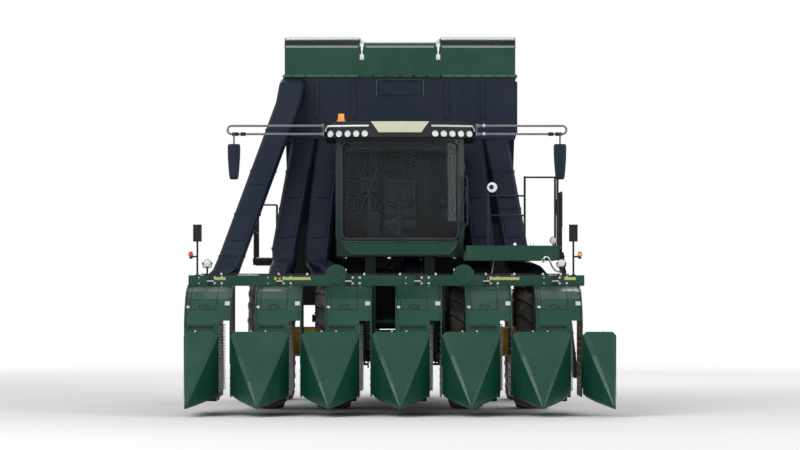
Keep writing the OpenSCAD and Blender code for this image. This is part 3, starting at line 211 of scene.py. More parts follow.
def coated(name, color, rough, metal=0.0, coat=0.0, wear=0.35, dust=0.25, peel=0.00025, edge=0.006):
    """A painted, moulded or plated surface: faded patches, dust on what faces up, worn edges, fine peel."""
    s = material(name)
    rounded, on_edge = s.edges(edge)
    patches = s.noise(1.7, 6.0)
    grime = s.noise(38.0, 4.0, 0.65)
    settled = s.times(s.ramp(s.height(s.face_normal()), 0.35, 1.0), s.ramp(patches, 0.3, 0.75))
    film = s.times(s.ramp(patches, 0.42, 0.72), 0.35)
    dusty = s.times(s.math("MAXIMUM", settled, film), dust)
    scuffed = s.times(on_edge, s.ramp(grime, 0.5, 0.62, 0.0, wear))
    base = s.mix(patches, shade(color, 0.84), shade(color, 1.14))
    base = s.mix(s.ramp(grime, 0.62, 0.74, 0.0, 0.35), base, shade(color, 0.55))
    base = s.mix(scuffed, base, BARE_METAL)
    s.finish(
        Base_Color=s.mix(dusty, base, DUST),
        Roughness=s.math("ADD", s.ramp(grime, 0.35, 0.7, rough - 0.05, rough + 0.12), s.times(dusty, 0.5)),
        Metallic=metal,
        Specular_IOR_Level=0.22,
        Coat_Weight=coat,
        Coat_Roughness=0.12,
        Normal=s.bump(s.noise(420.0, 2.0), peel, rounded),
    )


def rubber(name, color, dust, low=None):
    """Tyre or belt rubber: fine grain, light dust in patches, more of it low down where low is a height."""
    s = material(name)
    rounded, on_edge = s.edges(0.008)
    patches = s.noise(2.6, 7.0, 0.62)
    grain = s.noise(240.0, 5.0, 0.7)
    dusty = s.times(s.ramp(patches, 0.38, 0.7), dust)
    if low is not None:
        dusty = s.math("MAXIMUM", dusty, s.times(s.ramp(s.height(s.coords), low, 0.0), dust * 1.3))
    dusty = s.math("MAXIMUM", dusty, s.times(on_edge, dust * 0.8))
    base = s.mix(patches, shade(color, 0.8), shade(color, 1.3))
    s.finish(
        Base_Color=s.mix(dusty, base, DUST),
        Roughness=s.ramp(grain, 0.3, 0.7, 0.62, 0.88),
        Normal=s.bump(grain, 0.0009, rounded),
    )


def tinted(name, color, transmission=1.0):
    """Tinted glass, clear or dark: dust in streaks and smears takes a little of its tint."""
    s = material(name)
    film = s.times(s.ramp(s.noise(6.0, 5.0), 0.45, 0.75), s.ramp(s.noise(2.2, 6.0, 0.6), 0.42, 0.7, 0.0, 0.5))
    tint = s.mix(film, color, shade(color, 0.7))
    s.finish(Base_Color=tint, Roughness=0.0, Transmission_Weight=transmission, IOR=1.22)


def glowing(name, color, strength):
    """A lens with ribs that is lit a little from inside."""
    s = material(name)
    wave = s.wave(60.0)
    wave.inputs["Distortion"].default_value = 0.4
    ribs = wave.outputs["Fac"]
    s.finish(
        Base_Color=s.mix(ribs, shade(color, 0.8), color),
        Roughness=s.ramp(ribs, 0.0, 1.0, 0.08, 0.2),
        Coat_Weight=0.6,
        Emission_Color=color,
        Emission_Strength=strength,
        Normal=s.bump(ribs, 0.0008),
    )


def cloth(name, color):
    """Woven seat cloth."""
    s = material(name)
    warp, weft = [s.wave(170.0, bands_direction=axis).outputs["Fac"] for axis in "XZ"]
    weave = s.times(warp, weft)
    base = s.mix(weave, shade(color, 0.6), shade(color, 1.3))
    base = s.mix(s.ramp(s.noise(5.0, 5.0), 0.4, 0.7, 0.0, 0.4), base, shade(color, 1.6))
    s.finish(Base_Color=base, Roughness=0.9, Sheen_Weight=0.3, Normal=s.bump(weave, 0.001))


def punched(name, color, scale):
    """Punched sheet: a field of small raised lozenges, its holes darkened with painted shade."""
    s = material(name)
    cells = s.add("TexVoronoi", {"Vector": s.coords, "Scale": scale, "Randomness": 0.0})
    holes = s.ramp(cells.outputs["Distance"], 0.3, 0.42)
    patches = s.noise(3.0, 6.0)
    # Painted shade: the holes are darkened to a third of the sheet's colour.
    base = s.mix(holes, shade(color, 0.35), s.mix(patches, shade(color, 0.85), shade(color, 1.2)))
    base = s.mix(s.ramp(patches, 0.45, 0.75, 0.0, 0.35), base, DUST)
    s.finish(Base_Color=base, Metallic=0.4, Roughness=0.55, Normal=s.bump(holes, 0.003))


coated("green_paint", PAINTED_SHADE_GREEN, 0.34, coat=0.12, dust=0.08)
# Painted shade: the cab's green is darkened nearly to navy, as it looks in shade.
coated("dark_green", (0.003, 0.018, 0.019), 0.36, coat=0.1, dust=0.08)
coated("black_paint", (0.008, 0.009, 0.013), 0.42, dust=0.1)
# Painted shade: the black plastic is tinted navy, the blue of skylight on it in shade.
coated("black_plastic", (0.003, 0.009, 0.024), 0.46, wear=0.08, dust=0.05, peel=0.0005)
coated("cab_trim", (0.03, 0.03, 0.034), 0.62, wear=0.1, dust=0.1, peel=0.0006, edge=0.01)
coated("yellow_paint", (0.8, 0.5, 0.035), 0.36, coat=0.3, dust=0.4)
rubber("tyre_rubber", (0.022, 0.022, 0.023), 0.5, low=1.1)
rubber("belt_rubber", (0.025, 0.025, 0.027), 0.3)
tinted("window_glass", (0.6, 0.69, 0.72))
coated("rod_chrome", (0.72, 0.73, 0.75), 0.1, metal=1.0, wear=0.0, dust=0.08, peel=0.00003)
glowing("lamp_lens", (0.66, 0.68, 0.68), 0.12)
glowing("amber_lens", (0.9, 0.3, 0.015), 0.2)
glowing("red_lens", (0.65, 0.015, 0.012), 0.25)
coated("pale_panel", (0.52, 0.54, 0.4), 0.4, dust=0.12, wear=0.1)
coated("zinc", (0.6, 0.61, 0.62), 0.32, metal=0.85, wear=0.0)
cloth("seat_cloth", (0.06, 0.064, 0.07))
punched("screen", (0.03, 0.045, 0.04), 60.0)
# Painted shade: the tape's yellow is darkened to olive, as it looks in shade.
coated("yellow_tape", (0.52, 0.48, 0.14), 0.34, dust=0.1, wear=0.1)
tinted("display", (0.02, 0.03, 0.04), 0.0)
coated("mirror", (0.85, 0.87, 0.88), 0.04, metal=1.0, wear=0.0, dust=0.05, peel=0.0)
# Painted highlight: a lighter green, worn at the edges, that stands for the light along the ledge's lip.
coated("worn_green_painted_highlight", (0.03, 0.105, 0.075), 0.4, dust=0.2, wear=0.5)
coated("dull_zinc", (0.26, 0.26, 0.245), 0.46, dust=0.1, wear=0.2)
coated("arm_grey", (0.17, 0.17, 0.18), 0.34, dust=0.08)
coated("spindle", (0.5, 0.5, 0.5), 0.28, metal=1.0, wear=0.2)

# Nodes of the CAD that look better in a finish other than their slot's
OWN_FINISH = {"cab_shell": "dark_green", "cab_roof": "black_paint", "service_deck": "black_paint"}

slot_of = {p["node"]: p["material_slot"] for p in frame["record"]["subparts"]}
for name, node in frame["nodes"].items():
    node.data.materials.clear()
    node.data.materials.append(FINISHES[OWN_FINISH.get(name, slot_of.get(name, "green_paint"))])


# Mesh helpers: bm is the mesh being built, which part() starts and the helpers add to


def box(a, b):
    """A box between two opposite corners."""
    lo, hi = Vector(list(map(min, a, b))), Vector(list(map(max, a, b)))
    made = bmesh.ops.create_cube(bm, size=1.0)["verts"]
    place = Matrix.Translation((lo + hi) / 2) @ Matrix.Diagonal((*(hi - lo), 1))
    bmesh.ops.transform(bm, matrix=place, verts=made)


def rod(a, b, r, end_r=None, sides=16):
    """A round bar or cone from a to b."""
    a, b = Vector(a), Vector(b)
    end_r = r if end_r is None else end_r
    length = (b - a).length
    made = bmesh.ops.create_cone(bm, cap_ends=True, segments=sides, radius1=r, radius2=end_r, depth=length)
    turn = Vector(UP).rotation_difference(b - a).to_matrix().to_4x4()
    bmesh.ops.transform(bm, matrix=Matrix.Translation((a + b) / 2) @ turn, verts=made["verts"])


def skin(rings, caps=True):
    """Joins rings of points with faces. A ring may be one point. Caps close both ends."""
    rings = [[bm.verts.new(point) for point in ring] for ring in rings]
    sides = max(map(len, rings))
    for one, two in zip(rings, rings[1:]):
        for k in range(sides):
            j = (k + 1) % sides
            corners = [one[k % len(one)], one[j % len(one)], two[j % len(two)], two[k % len(two)]]
            bm.faces.new(list(dict.fromkeys(corners)))
    if caps:
        bm.faces.new(list(reversed(rings[0])))
        bm.faces.new(rings[-1])


def ring(centre, u, v, r, sides):
    """Points round a circle whose plane is spanned by u and v."""
    return [centre + r * (cos(a) * u + sin(a) * v) for a in (2 * pi * k / sides for k in range(sides))]


def smooth_path(points, steps):
    """Points along a Catmull-Rom curve through the given ones."""
    p = [2 * points[0] - points[1], *points, 2 * points[-1] - points[-2]]
    out = []
    for a, b, c, d in zip(p, p[1:], p[2:], p[3:]):
        for t in (k / steps for k in range(steps)):
            bend = (2 * a - 5 * b + 4 * c - d) * t * t + (3 * b - a - 3 * c + d) * t ** 3
            out.append(0.5 * (2 * b + (c - a) * t + bend))
    return out + [points[-1]]


def tube(points, r, sides=8, steps=None, closed=False):
    """A round tube along points, on a smooth curve with steps between them where steps is given."""
    points = [Vector(p) for p in points]
    if steps:
        points = smooth_path(points, steps)
    if closed:
        points.append(points[0])
    rings = []
    side = Vector(UP)
    for i, point in enumerate(points):
        ahead = points[min(i + 1, len(points) - 1)] - points[max(i - 1, 0)]
        ahead.normalize()
        if abs(side.dot(ahead)) > 0.95:
            side = ahead.orthogonal()
        side = (side - ahead * side.dot(ahead)).normalized()
        rings.append(ring(point, side, ahead.cross(side), r, sides))
    skin(rings)


def turned(centre, axis, profile, sides=28):
    """Revolves (radius, distance along axis) points about a line through centre."""
    axis = Vector(axis).normalized()
    u = axis.orthogonal().normalized()
    rings = [ring(Vector(centre) + axis * d, u, axis.cross(u), r, sides if r else 1) for r, d in profile]
    skin(rings, caps=False)


def rounded_loop(a, b, r, steps=5):
    """Points round a rectangle of half sizes a and b whose corners have radius r."""
    loop = []
    for sx, sy, start in ((1, 1, 0), (-1, 1, 90), (-1, -1, 180), (1, -1, 270)):
        for k in range(steps + 1):
            t = radians(start + 90 * k / steps)
            loop.append((sx * (a - r) + r * cos(t), sy * (b - r) + r * sin(t)))
    return loop


def slab(corners, thick):
    """A prism: a flat outline and the same outline moved by thick."""
    corners = [Vector(c) for c in corners]
    skin([corners, [c + Vector(thick) for c in corners]])


def bolt(at, axis, r):
    """A hex head on its washer, standing on a face at that point."""
    at, axis = Vector(at), Vector(axis).normalized()
    rod(at, at + axis * r * 0.3, r * 1.9, sides=14)
    rod(at + axis * r * 0.3, at + axis * r * 1.4, r * 1.12, sides=6)


def spread(places):
    """Every combination of three coordinates, each of them a number or several."""
    return product(*(c if hasattr(c, "__iter__") else (c,) for c in places))


def shifted(point, by):
    return tuple(p + q for p, q in zip(point, by))


def bolts(places, axis, r):
    for at in spread(places):
        bolt(at, axis, r)


def boxes(places, size):
    for at in spread(places):
        box(at, shifted(at, size))


def rods(places, along, r, end_r=None, sides=16):
    for at in spread(places):
        rod(at, shifted(at, along), r, end_r, sides)


def series(start, step, count):
    return [start + k * step for k in range(count)]


def show(obj):
    bpy.context.scene.collection.objects.link(obj)
    return obj


def to_object(name):
    """Ends the mesh being built and links it to the scene as an object."""
    mesh = bpy.data.meshes.new(name)
    bm.to_mesh(mesh)
    bm.free()
    return show(bpy.data.objects.new(name, mesh))


def part(finish, body="harvester", bevel=None, smooth=True, name=None, replaces=None):
    """Makes one mesh object with the function that follows, named after it, and sets it on a body."""

    def make(build):
        global bm
        bm = bmesh.new()
        build()
        bmesh.ops.recalc_face_normals(bm, faces=bm.faces)
        obj = to_object(name or build.__name__)
        mesh = obj.data
        mesh.materials.append(FINISHES[finish])
        if smooth:
            mesh.shade_smooth()
            mesh.set_sharp_from_angle(angle=radians(35))
        if bevel:
            mod = obj.modifiers.new("edge", "BEVEL")
            mod.width, mod.segments, mod.limit_method, mod.angle_limit = bevel, 2, "ANGLE", radians(40)
        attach(obj, body)
        if replaces:
            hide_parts(replaces)
        return obj

    return make


# Picking head


def hood_z(share):
    """Height of a unit's hood at a share of its length from the rear."""
    for (p0, d0), (p1, d1) in zip(HOOD_POINTS, HOOD_POINTS[1:]):
        if share <= p1:
            return UNIT_TOP - (d0 + (d1 - d0) * (share - p0) / (p1 - p0))


def on_hood(x, share, up=0.0):
    return (x, UNIT_REAR - share * UNIT_LEN, hood_z(share) + up)


@part("spindle", "head", smooth=False)
def picker_spindles():
    """Columns of tapered spindles on two drums in each unit, reaching into the row passage."""
    for row, drum, column in product(ROWS, (0.34, 0.86), range(7)):
        y = UNIT_FRONT + drum + (column - 3) * 0.045
        reach = 0.057 - 0.004 * abs(column - 3)
        levels = series(0.34 + 0.021 * (column % 2), 0.042, 22)
        rods((row - PASSAGE / 2 - 0.002, y, levels), (reach, 0, 0), 0.0075, 0.0035, 6)


@part("zinc", "head", bevel=0.002)
def pressure_ribs():
    """Ribs on each passage's crop-side panel and stripper slats at its mouth."""
    for row in ROWS:
        panel, wall = row + PASSAGE / 2, row - PASSAGE / 2
        boxes((panel, UNIT_FRONT + 0.2, series(0.4, 0.1, 9)), (-0.007, UNIT_LEN - 0.32, 0.022))
        boxes((wall - 0.001, UNIT_FRONT + 0.1, series(0.32, 0.068, 14)), (0.007, 0.03, 0.03))


@part("green_paint", "head")
def hood_bolts():
    """Bolts down both edges of each hood."""
    for left, across in product(UNIT_LEFTS, (0.032, UNIT_W - 0.032)):
        for share in (0.06, 0.36, 0.46, 0.55, 0.66, 0.76, 0.93):
            fall = hood_z(share - 0.01) - hood_z(share + 0.01)
            bolt(on_hood(left + across, share), (0, -fall, 0.02 * UNIT_LEN), 0.008)


@part("black_paint", "head")
def hood_seams():
    """Rims of the lift-up cover on each hood, its hinges and its grab handle."""
    shares = (0.36, 0.45, 0.54, 0.62, 0.7, 0.78, 0.845, 0.905)
    hinge, handle = 0.34, 0.875
    for left in UNIT_LEFTS:
        x0, x1 = left + 0.075, left + UNIT_W - 0.2
        for x in (x0, x1):
            tube([on_hood(x, share, 0.001) for share in shares], 0.006, 6)
        for share in (shares[0], shares[-1]):
            tube([on_hood(x, share, 0.001) for x in (x0, x1)], 0.006, 6)
        for x in (x0 + 0.06, x1 - 0.06):
            rod(on_hood(x - 0.03, hinge, 0.006), on_hood(x + 0.03, hinge, 0.006), 0.009, sides=12)
        x, y, z = on_hood(left + 0.26, handle)
        tube([(x - 0.06, y, z), (x - 0.05, y - 0.022, z + 0.026),
              (x + 0.05, y - 0.022, z + 0.026), (x + 0.06, y, z)], 0.006, steps=5)


@part("zinc", "head")
def nose_bolts():
    """Bolts on the dividers and noses, and a wear strip at each passage's mouth."""
    middles = [(i - 3) * ROW_PITCH for i in range(7)]
    for x in middles:
        for dx in (-0.11, 0.09):
            if abs(x + dx) < 2.9:
                bolt((x + dx, UNIT_FRONT - 0.032, 1.15), UP, 0.011)
        for dy in (0.1, 0.2):
            bolt((x, NOSE_TIP + 0.02 + dy * 1.2, 0.215 + dy * 0.9), (0, -0.9, 1), 0.009)
    boxes(([x - 0.245 for x in middles[1:]], UNIT_FRONT - 0.064, 0.33), (0.007, 0.014, 0.75))


@part("green_paint", "head", bevel=0.0015)
def rear_doors():
    """Door frames, hinges and latches on each unit's rear face."""
    y = UNIT_REAR - 0.001
    for left in UNIT_LEFTS:
        x0, x1 = left + 0.05, left + UNIT_W - 0.2
        boxes((x0, y, (0.36, 0.88, 1.38)), (x1 - x0, 0.007, 0.02))
        boxes(((x0, x1 - 0.02), y, 0.36), (0.02, 0.007, 1.04))
        rods((x0 + 0.004, y + 0.008, (0.44, 0.62, 0.96, 1.28)), (0, 0, 0.06), 0.006, sides=10)
        boxes((x1 - 0.075, y + 0.001, (0.62, 1.14)), (0.04, 0.01, 0.07))


@part("black_paint", "head")
def end_panels():
    """Pressed panel, vents and bolts on each end unit's outer side."""
    for x, out in ((-HEAD_X, -0.003), (ROWS[-1] + PASSAGE / 2 + PANEL, 0.003)):
        boxes((x, (-4.02, -3.22), 0.42), (out, 0.03, 1.0))
        boxes((x, -4.02, (0.4, 1.41)), (out, 0.83, 0.03))
        boxes((x, -3.92, series(1.02, 0.045, 7)), (out, 0.32, 0.02))
        rods((x, (-4.08, -3.12), (0.4, 0.75, 1.1, 1.42)), (out, 0, 0), 0.013, sides=12)


@part("yellow_tape", "head")
def bar_tape():
    """Yellow marking strips on the tool bar's front, darkened to olive as painted shade."""
    for x0, x1 in ((-1.76, -1.25), (1.22, 1.67), (-2.6, -2.44), (2.3, 2.46)):
        box((x0, BAR_Y - 0.002, 1.862), (x1, BAR_Y + 0.0005, 1.902))


@part("black_paint", "head")
def bar_lines():
    """Lines clipped along the tool bar's top, and two down its front to each unit."""
    for k, (x0, x1) in product(range(3), ((-2.7, -1.12), (-0.74, 0.66), (1.06, 2.3))):
        y, z = BAR_Y + 0.03 + 0.022 * k, BAR_TOP + 0.014
        a, b = x0 + 0.04 * k, x1 - 0.04 * k
        tube([(a, y, BAR_TOP), (a + 0.004, y, z - 0.004), (a + 0.03, y, z),
              (b - 0.03, y, z), (b - 0.004, y, z - 0.004), (b, y, BAR_TOP)], 0.009, steps=3)
    for row, k in product(ROWS, range(2)):
        x, y = row - 0.262 + 0.05 * k, BAR_Y - 0.022
        tube([(x, y + 0.032, BAR_TOP), (x, y + 0.006, BAR_TOP + 0.004), (x, y, BAR_TOP - 0.03),
              (x, y, UNIT_TOP + 0.02), (x, y, UNIT_TOP)], 0.009, steps=4)


def clear_of_domes(x, gap):
    return min(abs(x - dome) for dome in DOMES) > gap


@part("zinc", "head")
def bar_clips():
    """Clips of the lines, and the bolts of each unit's hanger."""
    clips = (-2.5, -2.1, -1.7, -1.3, -0.5, 0.0, 0.5, 1.2, 1.6, 2.0, 2.25)
    boxes(([x - 0.014 for x in clips], BAR_Y + 0.016, BAR_TOP - 0.001), (0.028, 0.072, 0.028))
    bolts((clips, BAR_Y + 0.052, BAR_TOP + 0.027), UP, 0.006)
    hangers = [row + dx for row in ROWS for dx in (-0.4, -0.18, -0.08)]
    hangers = [x for x in hangers if clear_of_domes(x, 0.16)]
    bolts((hangers, BAR_Y, (UNIT_TOP + 0.035, UNIT_TOP + 0.115)), FRONT, 0.009)
    boxes(([row - 0.285 for row in ROWS], BAR_Y - 0.032, UNIT_TOP + 0.06), (0.095, 0.032, 0.015))


@part("green_paint", "head")
def hanger_plates():
    """Cap plates on the bar above each unit, and the ribbed faces of the domes."""
    plates = [row - 0.42 for row in ROWS if clear_of_domes(row - 0.385, 0.18)]
    boxes((plates, BAR_Y - 0.006, UNIT_TOP + 0.006), (0.07, 0.006, 0.138))
    for x in DOMES:
        turned((x, BAR_Y - 0.001, BAR_TOP), FRONT,
               [(0.135, -0.004), (0.135, 0.005), (0.115, 0.008), (0.1, 0.005), (0.03, 0.005),
                (0.028, 0.016), (0, 0.016)], 36)


@part("black_paint", "head")
def marker_frames():
    """A rim on each marker panel and the bezel of the side lamp beside it."""
    for x, lamp in zip(MARKERS, SIDE_LAMPS):
        tube([(x + a, -3.2505, 2.52 + b) for a, b in rounded_loop(0.052, 0.112, 0.022)], 0.008, closed=True)
        turned(lamp, FRONT, [(0.03, 0.0), (0.034, 0.004), (0.034, 0.026), (0.029, 0.028)])


def side_lens(lamp):
    """A domed lens over one of the head's side lamps."""
    dome = [(0.028, 0.0), (0.028, 0.031), (0.023, 0.037), (0.017, 0.0405), (0.009, 0.0425), (0, 0.043)]
    turned(lamp, FRONT, dome)


for place, label, lens in zip(SIDE_LAMPS, ("right", "left"), ("red_lens", "amber_lens")):
    part(lens, "head", name=f"side_lens_{label}", replaces="marker_lenses")(lambda: side_lens(place))


# Cab


def bow_point(x, z, proud=0.0):
    """A point on the bowed front of the cab, stood off it by proud."""
    toe = max(0.0, min(1.0, 1 - (z - CAB_LO) / 0.5)) * 0.08
    r = BOW_R - toe + proud
    return Vector((x, BOW_Y - sqrt(r * r - x * x), z))


def side_seal(x, y, z, a, b, r):
    """A round seal about a window in the cab's side, from its middle and half sizes."""
    tube([(x, y + u, z + v) for u, v in rounded_loop(a, b, 0.05)], r, closed=True)


@part("cab_trim")
def window_seals():
    """Rubber round the windscreen and the fixed side and rear windows."""
    loop = rounded_loop(0.822, 0.688, 0.09, 7)
    dense = []
    for (x0, z0), (x1, z1) in zip(loop, loop[1:] + loop[:1]):
        steps = max(1, int(hypot(x1 - x0, z1 - z0) / 0.08))
        dense += [(x0 + (x1 - x0) * t / steps, z0 + (z1 - z0) * t / steps) for t in range(steps)]
    tube([bow_point(x, z + 3.13, 0.002) for x, z in dense], 0.018, closed=True)
    side_seal(0.9, -1.665, 3.29, 0.325, 0.48, 0.014)
    side_seal(-0.9, -1.665, 3.29, 0.325, 0.48, 0.014)
    side_seal(-0.9, -2.365, 3.115, 0.295, 0.655, 0.014)
    tube([(u, -1.24, 3.325 + v) for u, v in rounded_loop(0.77, 0.415, 0.06)], 0.014, closed=True)


@part("cab_trim", "door")
def door_seal():
    """Rubber round the door's window and the lock under its handle."""
    side_seal(0.9, -2.365, 3.112, 0.242, 0.655, 0.012)
    rod((0.9, -2.625, 2.88), (0.912, -2.625, 2.88), 0.016, sides=20)


@part("black_paint")
def wiper():
    """Wiper arm and blade parked beside the windscreen's middle."""
    foot, out = bow_point(0.02, 2.415, 0.014), Vector(FRONT)
    rod(foot - out * 0.03, foot + out * 0.014, 0.026, sides=20)
    rod(foot + out * 0.012, foot + out * 0.026, 0.015, 0.01, sides=12)
    arm = [foot, bow_point(-0.1, 2.62, 0.04), bow_point(-0.26, 2.88, 0.038), bow_point(-0.44, 3.12, 0.014)]
    tube(arm, 0.008, steps=6)
    tube([bow_point(-0.44 + 0.26 * (k / 10 - 0.5), 3.12 + 0.62 * (k / 10 - 0.5), 0.004) for k in range(11)],
         0.008, 6)


@part("zinc")
def lamp_bezels():
    """A ring round each roof lamp."""
    for side, i in product(SIDES, range(5)):
        angle = side * asin((0.49 + i * 0.12) / ROOF_R)
        out = Vector((sin(angle), -cos(angle), 0))
        centre = Vector((0, BOW_Y, CAB_HI + 0.22 * 0.23)) + out * ROOF_R
        turned(centre, out, [(0.044, 0.0), (0.046, 0.03), (0.041, 0.037), (0.034, 0.034), (0.033, 0.03)])


@part("zinc")
def roof_trim():
    """Bright strips along the roof's brow, bent down at their ends, and two mirror collars."""
    brow = [(0.44 + (1.00 - 0.44) * k / 14, 4.032) for k in range(15)]
    brow += [(1.022, 4.026), (1.038, 4.008), (1.046, 3.985), (1.05, 3.955)]
    for side in SIDES:
        tube([(side * x, BOW_Y - sqrt((ROOF_R - 0.008) ** 2 - x * x), z) for x, z in brow], 0.017)
    rods((1.165, MIRROR_Y, (MIRROR_LOW, MIRROR_HIGH)), (0.035, 0, 0), 0.025, sides=18)


@part("black_paint", bevel=0.003)
def roof_hardware():
    """Ribs, bolts, two vent cowls and two aerials on the roof."""
    top = ROOF_TOP
    boxes((series(-0.64, 0.31, 5), -2.62, top - 0.002), (0.04, 1.0, 0.014))
    bolts(((-0.82, -0.45, 0.0, 0.45, 0.82), (-2.74, -1.3), top), UP, 0.01)
    turned((0.47, -1.45, top), UP, [(0.12, 0), (0.12, 0.03), (0.1, 0.055), (0.03, 0.062), (0, 0.062)], 32)
    rods(((0.8, -0.8), -1.5, top), (0, 0, 0.05), 0.02, 0.012)
    rods(((0.8, -0.8), -1.5, top + 0.05), (0, 0.04, 0.57), 0.0035, 0.002, 8)
    turned((0.0, -1.45, top), UP, [(0.1, 0), (0.1, 0.02), (0.085, 0.06), (0.05, 0.085), (0, 0.092)], 32)


@part("green_paint")
def fascia_bolts():
    """Bolts of the lower front panel."""
    for z, half in ((2.375, (0.3, 0.6)), (2.255, (0.25, 0.5))):
        for x, s in product(half, SIDES):
            bolt(bow_point(s * x, z, 0.0155), (s * x / BOW_R, -1, -0.16), 0.01)


@part("green_paint")
def fascia_trim():
    """Rolled lip under the front panel and a step rail under the windscreen."""
    half = [(0.0, 2.232), (0.4, 2.232), (0.655, 2.232), (0.7, 2.245), (0.765, 2.315), (0.795, 2.36)]
    lip = [(-x, z) for x, z in reversed(half[1:])] + half
    tube([bow_point(x, z, 0.014) for x, z in lip], 0.011, steps=4)
    tube([bow_point(x / 20, 2.405, 0.016) for x in range(-15, 16)], 0.008)


@part("arm_grey", replaces="mirrors")
def mirror_arms():
    """Tube loops from the roof's sides, each with its mirror's hanger."""
    y, low, high = MIRROR_Y, MIRROR_LOW, MIRROR_HIGH
    bend = (high - low) / 2
    for side, out in MIRRORS:
        box((side * 1.0703, y - 0.024, low - 0.03), (side * 1.084, y + 0.15, high + 0.03))
        arc = [(out - bend + bend * cos(a), low + bend + bend * sin(a))
               for a in (radians(-90 + 15 * k) for k in range(13))]
        tube([(side * x, y, z) for x, z in ((1.083, low), *arc, (1.083, high))], 0.016, 12)
        rods((side * 1.083, y, (low, high)), (side * 0.037, 0, 0), 0.023)
        x = side * (out - MIRROR_HANG)
        rod((x, y, low - 0.16), (x, y, low + 0.02), 0.013, sides=12)
        rod((x, y, low - 0.02), (x, y, low + 0.024), 0.026)


@part("black_plastic", replaces="mirrors")
def mirror_heads():
    """Rounded heads that narrow towards the foot."""
    levels = ((3.78, 0.07, 0.02), (3.772, 0.082, 0.028), (3.74, 0.09, 0.03), (3.6, 0.088, 0.03),
              (3.42, 0.076, 0.028), (3.32, 0.066, 0.026), (3.288, 0.056, 0.022), (3.28, 0.044, 0.016))
    turns = [(cos(a), sin(a)) for a in (2 * pi * k / 24 for k in range(24))]
    squared = [(copysign(abs(c) ** 0.55, c), copysign(abs(s) ** 0.7, s)) for c, s in turns]
    for side, out in MIRRORS:
        x = side * (out - MIRROR_HANG)
        skin([[(x + half * u, -2.995 + deep * v, z) for u, v in squared] for z, half, deep in levels])


@part("black_paint", bevel=0.002)
def mirror_clamps():
    """Black clamp sleeves on each loop's lower tube."""
    for side, out in MIRRORS:
        for inner, wide in ((0.255, 0.07), (0.155, 0.09)):
            rods((side * (out - inner), MIRROR_Y, MIRROR_LOW), (side * wide, 0, 0), 0.027, sides=18)
        bolts(((side * (out - 0.22), side * (out - 0.11)), -3.0265, MIRROR_LOW), FRONT, 0.007)


@part("mirror")
def mirror_faces():
    """Mirror glass: a flat one above a wide-angle one."""
    for x in (2.255, -2.34):
        for z0, z1, half in ((3.47, 3.745, 0.068), (3.325, 3.45, 0.058)):
            face = rounded_loop(half, (z1 - z0) / 2, 0.02)
            slab([(x + u, -2.9655, (z0 + z1) / 2 + v) for u, v in face], (0, 0.004, 0))


@part("cab_trim", bevel=0.008)
def cab_interior():
    """Floor mat, pedals, arm rest, headliner, rear shelf and a screen's foot."""
    box((-0.8, -2.62, CAB_LO + 0.0803), (0.8, -1.32, CAB_LO + 0.089))
    boxes(((-0.215, 0.125), -2.66, 2.34), (0.09, 0.06, 0.08))
    rods(((-0.17, 0.17), -2.62, 2.29), (0, -0.01, 0.08), 0.012, sides=10)
    box((0.3, -2.1, 2.83), (0.36, -1.76, 2.87))
    rod((0.33, -1.8, 2.6), (0.33, -1.8, 2.84), 0.018, sides=12)
    box((-0.7, -2.72, 3.7), (0.7, -2.38, 3.815))
    box((-0.75, -2.3, 3.795), (0.75, -1.4, 3.818))
    box((-0.78, -1.42, 2.3), (0.78, -1.3, 2.86))
    box((-0.5, -1.42, 2.86), (0.5, -1.36, 2.95))
    rod((-0.44, -2.1, 3.08), (-0.44, -2.1, 3.12), 0.022)
    box((0.58, -2.55, 2.95), (0.66, -2.48, 3.02))


@part("black_plastic", bevel=0.002)
def console_controls():
    """Keys, knobs and the drive lever's grip on the console."""
    top = 2.8403
    boxes((series(-0.46, 0.038, 4), series(-1.86, 0.045, 6), top), (0.028, 0.032, 0.008))
    rods((-0.33, (-2.07, -1.95), top), (0, 0, 0.022), 0.017, 0.014, 18)
    grip = [(0.026, 0.0), (0.034, 0.03), (0.036, 0.07), (0.03, 0.1), (0.016, 0.115), (0, 0.118)]
    turned((-0.385, -2.0, 2.9), UP, grip, 20)


@part("display")
def display_screens():
    """Dark glass of the two displays."""
    for y, deep in ((-2.081, 0.0025), (-2.1225, 0.003)):
        boxes((-0.545, y, 3.155), (0.21, deep, 0.17))


# Seat

PADS = {
    # name: lowest corner, highest corner, seam positions across the pad, axis that faces the sitter
    "seat_pad": ((-0.262, -2.102, 2.618), (0.262, -1.64, 2.742), (-0.15, 0.15), 2),
    "back_pad": ((-0.25, -1.697, 2.76), (0.25, -1.597, 3.358), (-0.14, 0.14), 1),
}
SWELL = 0.014
VOXEL = 0.008
SIM_FRAMES = 20


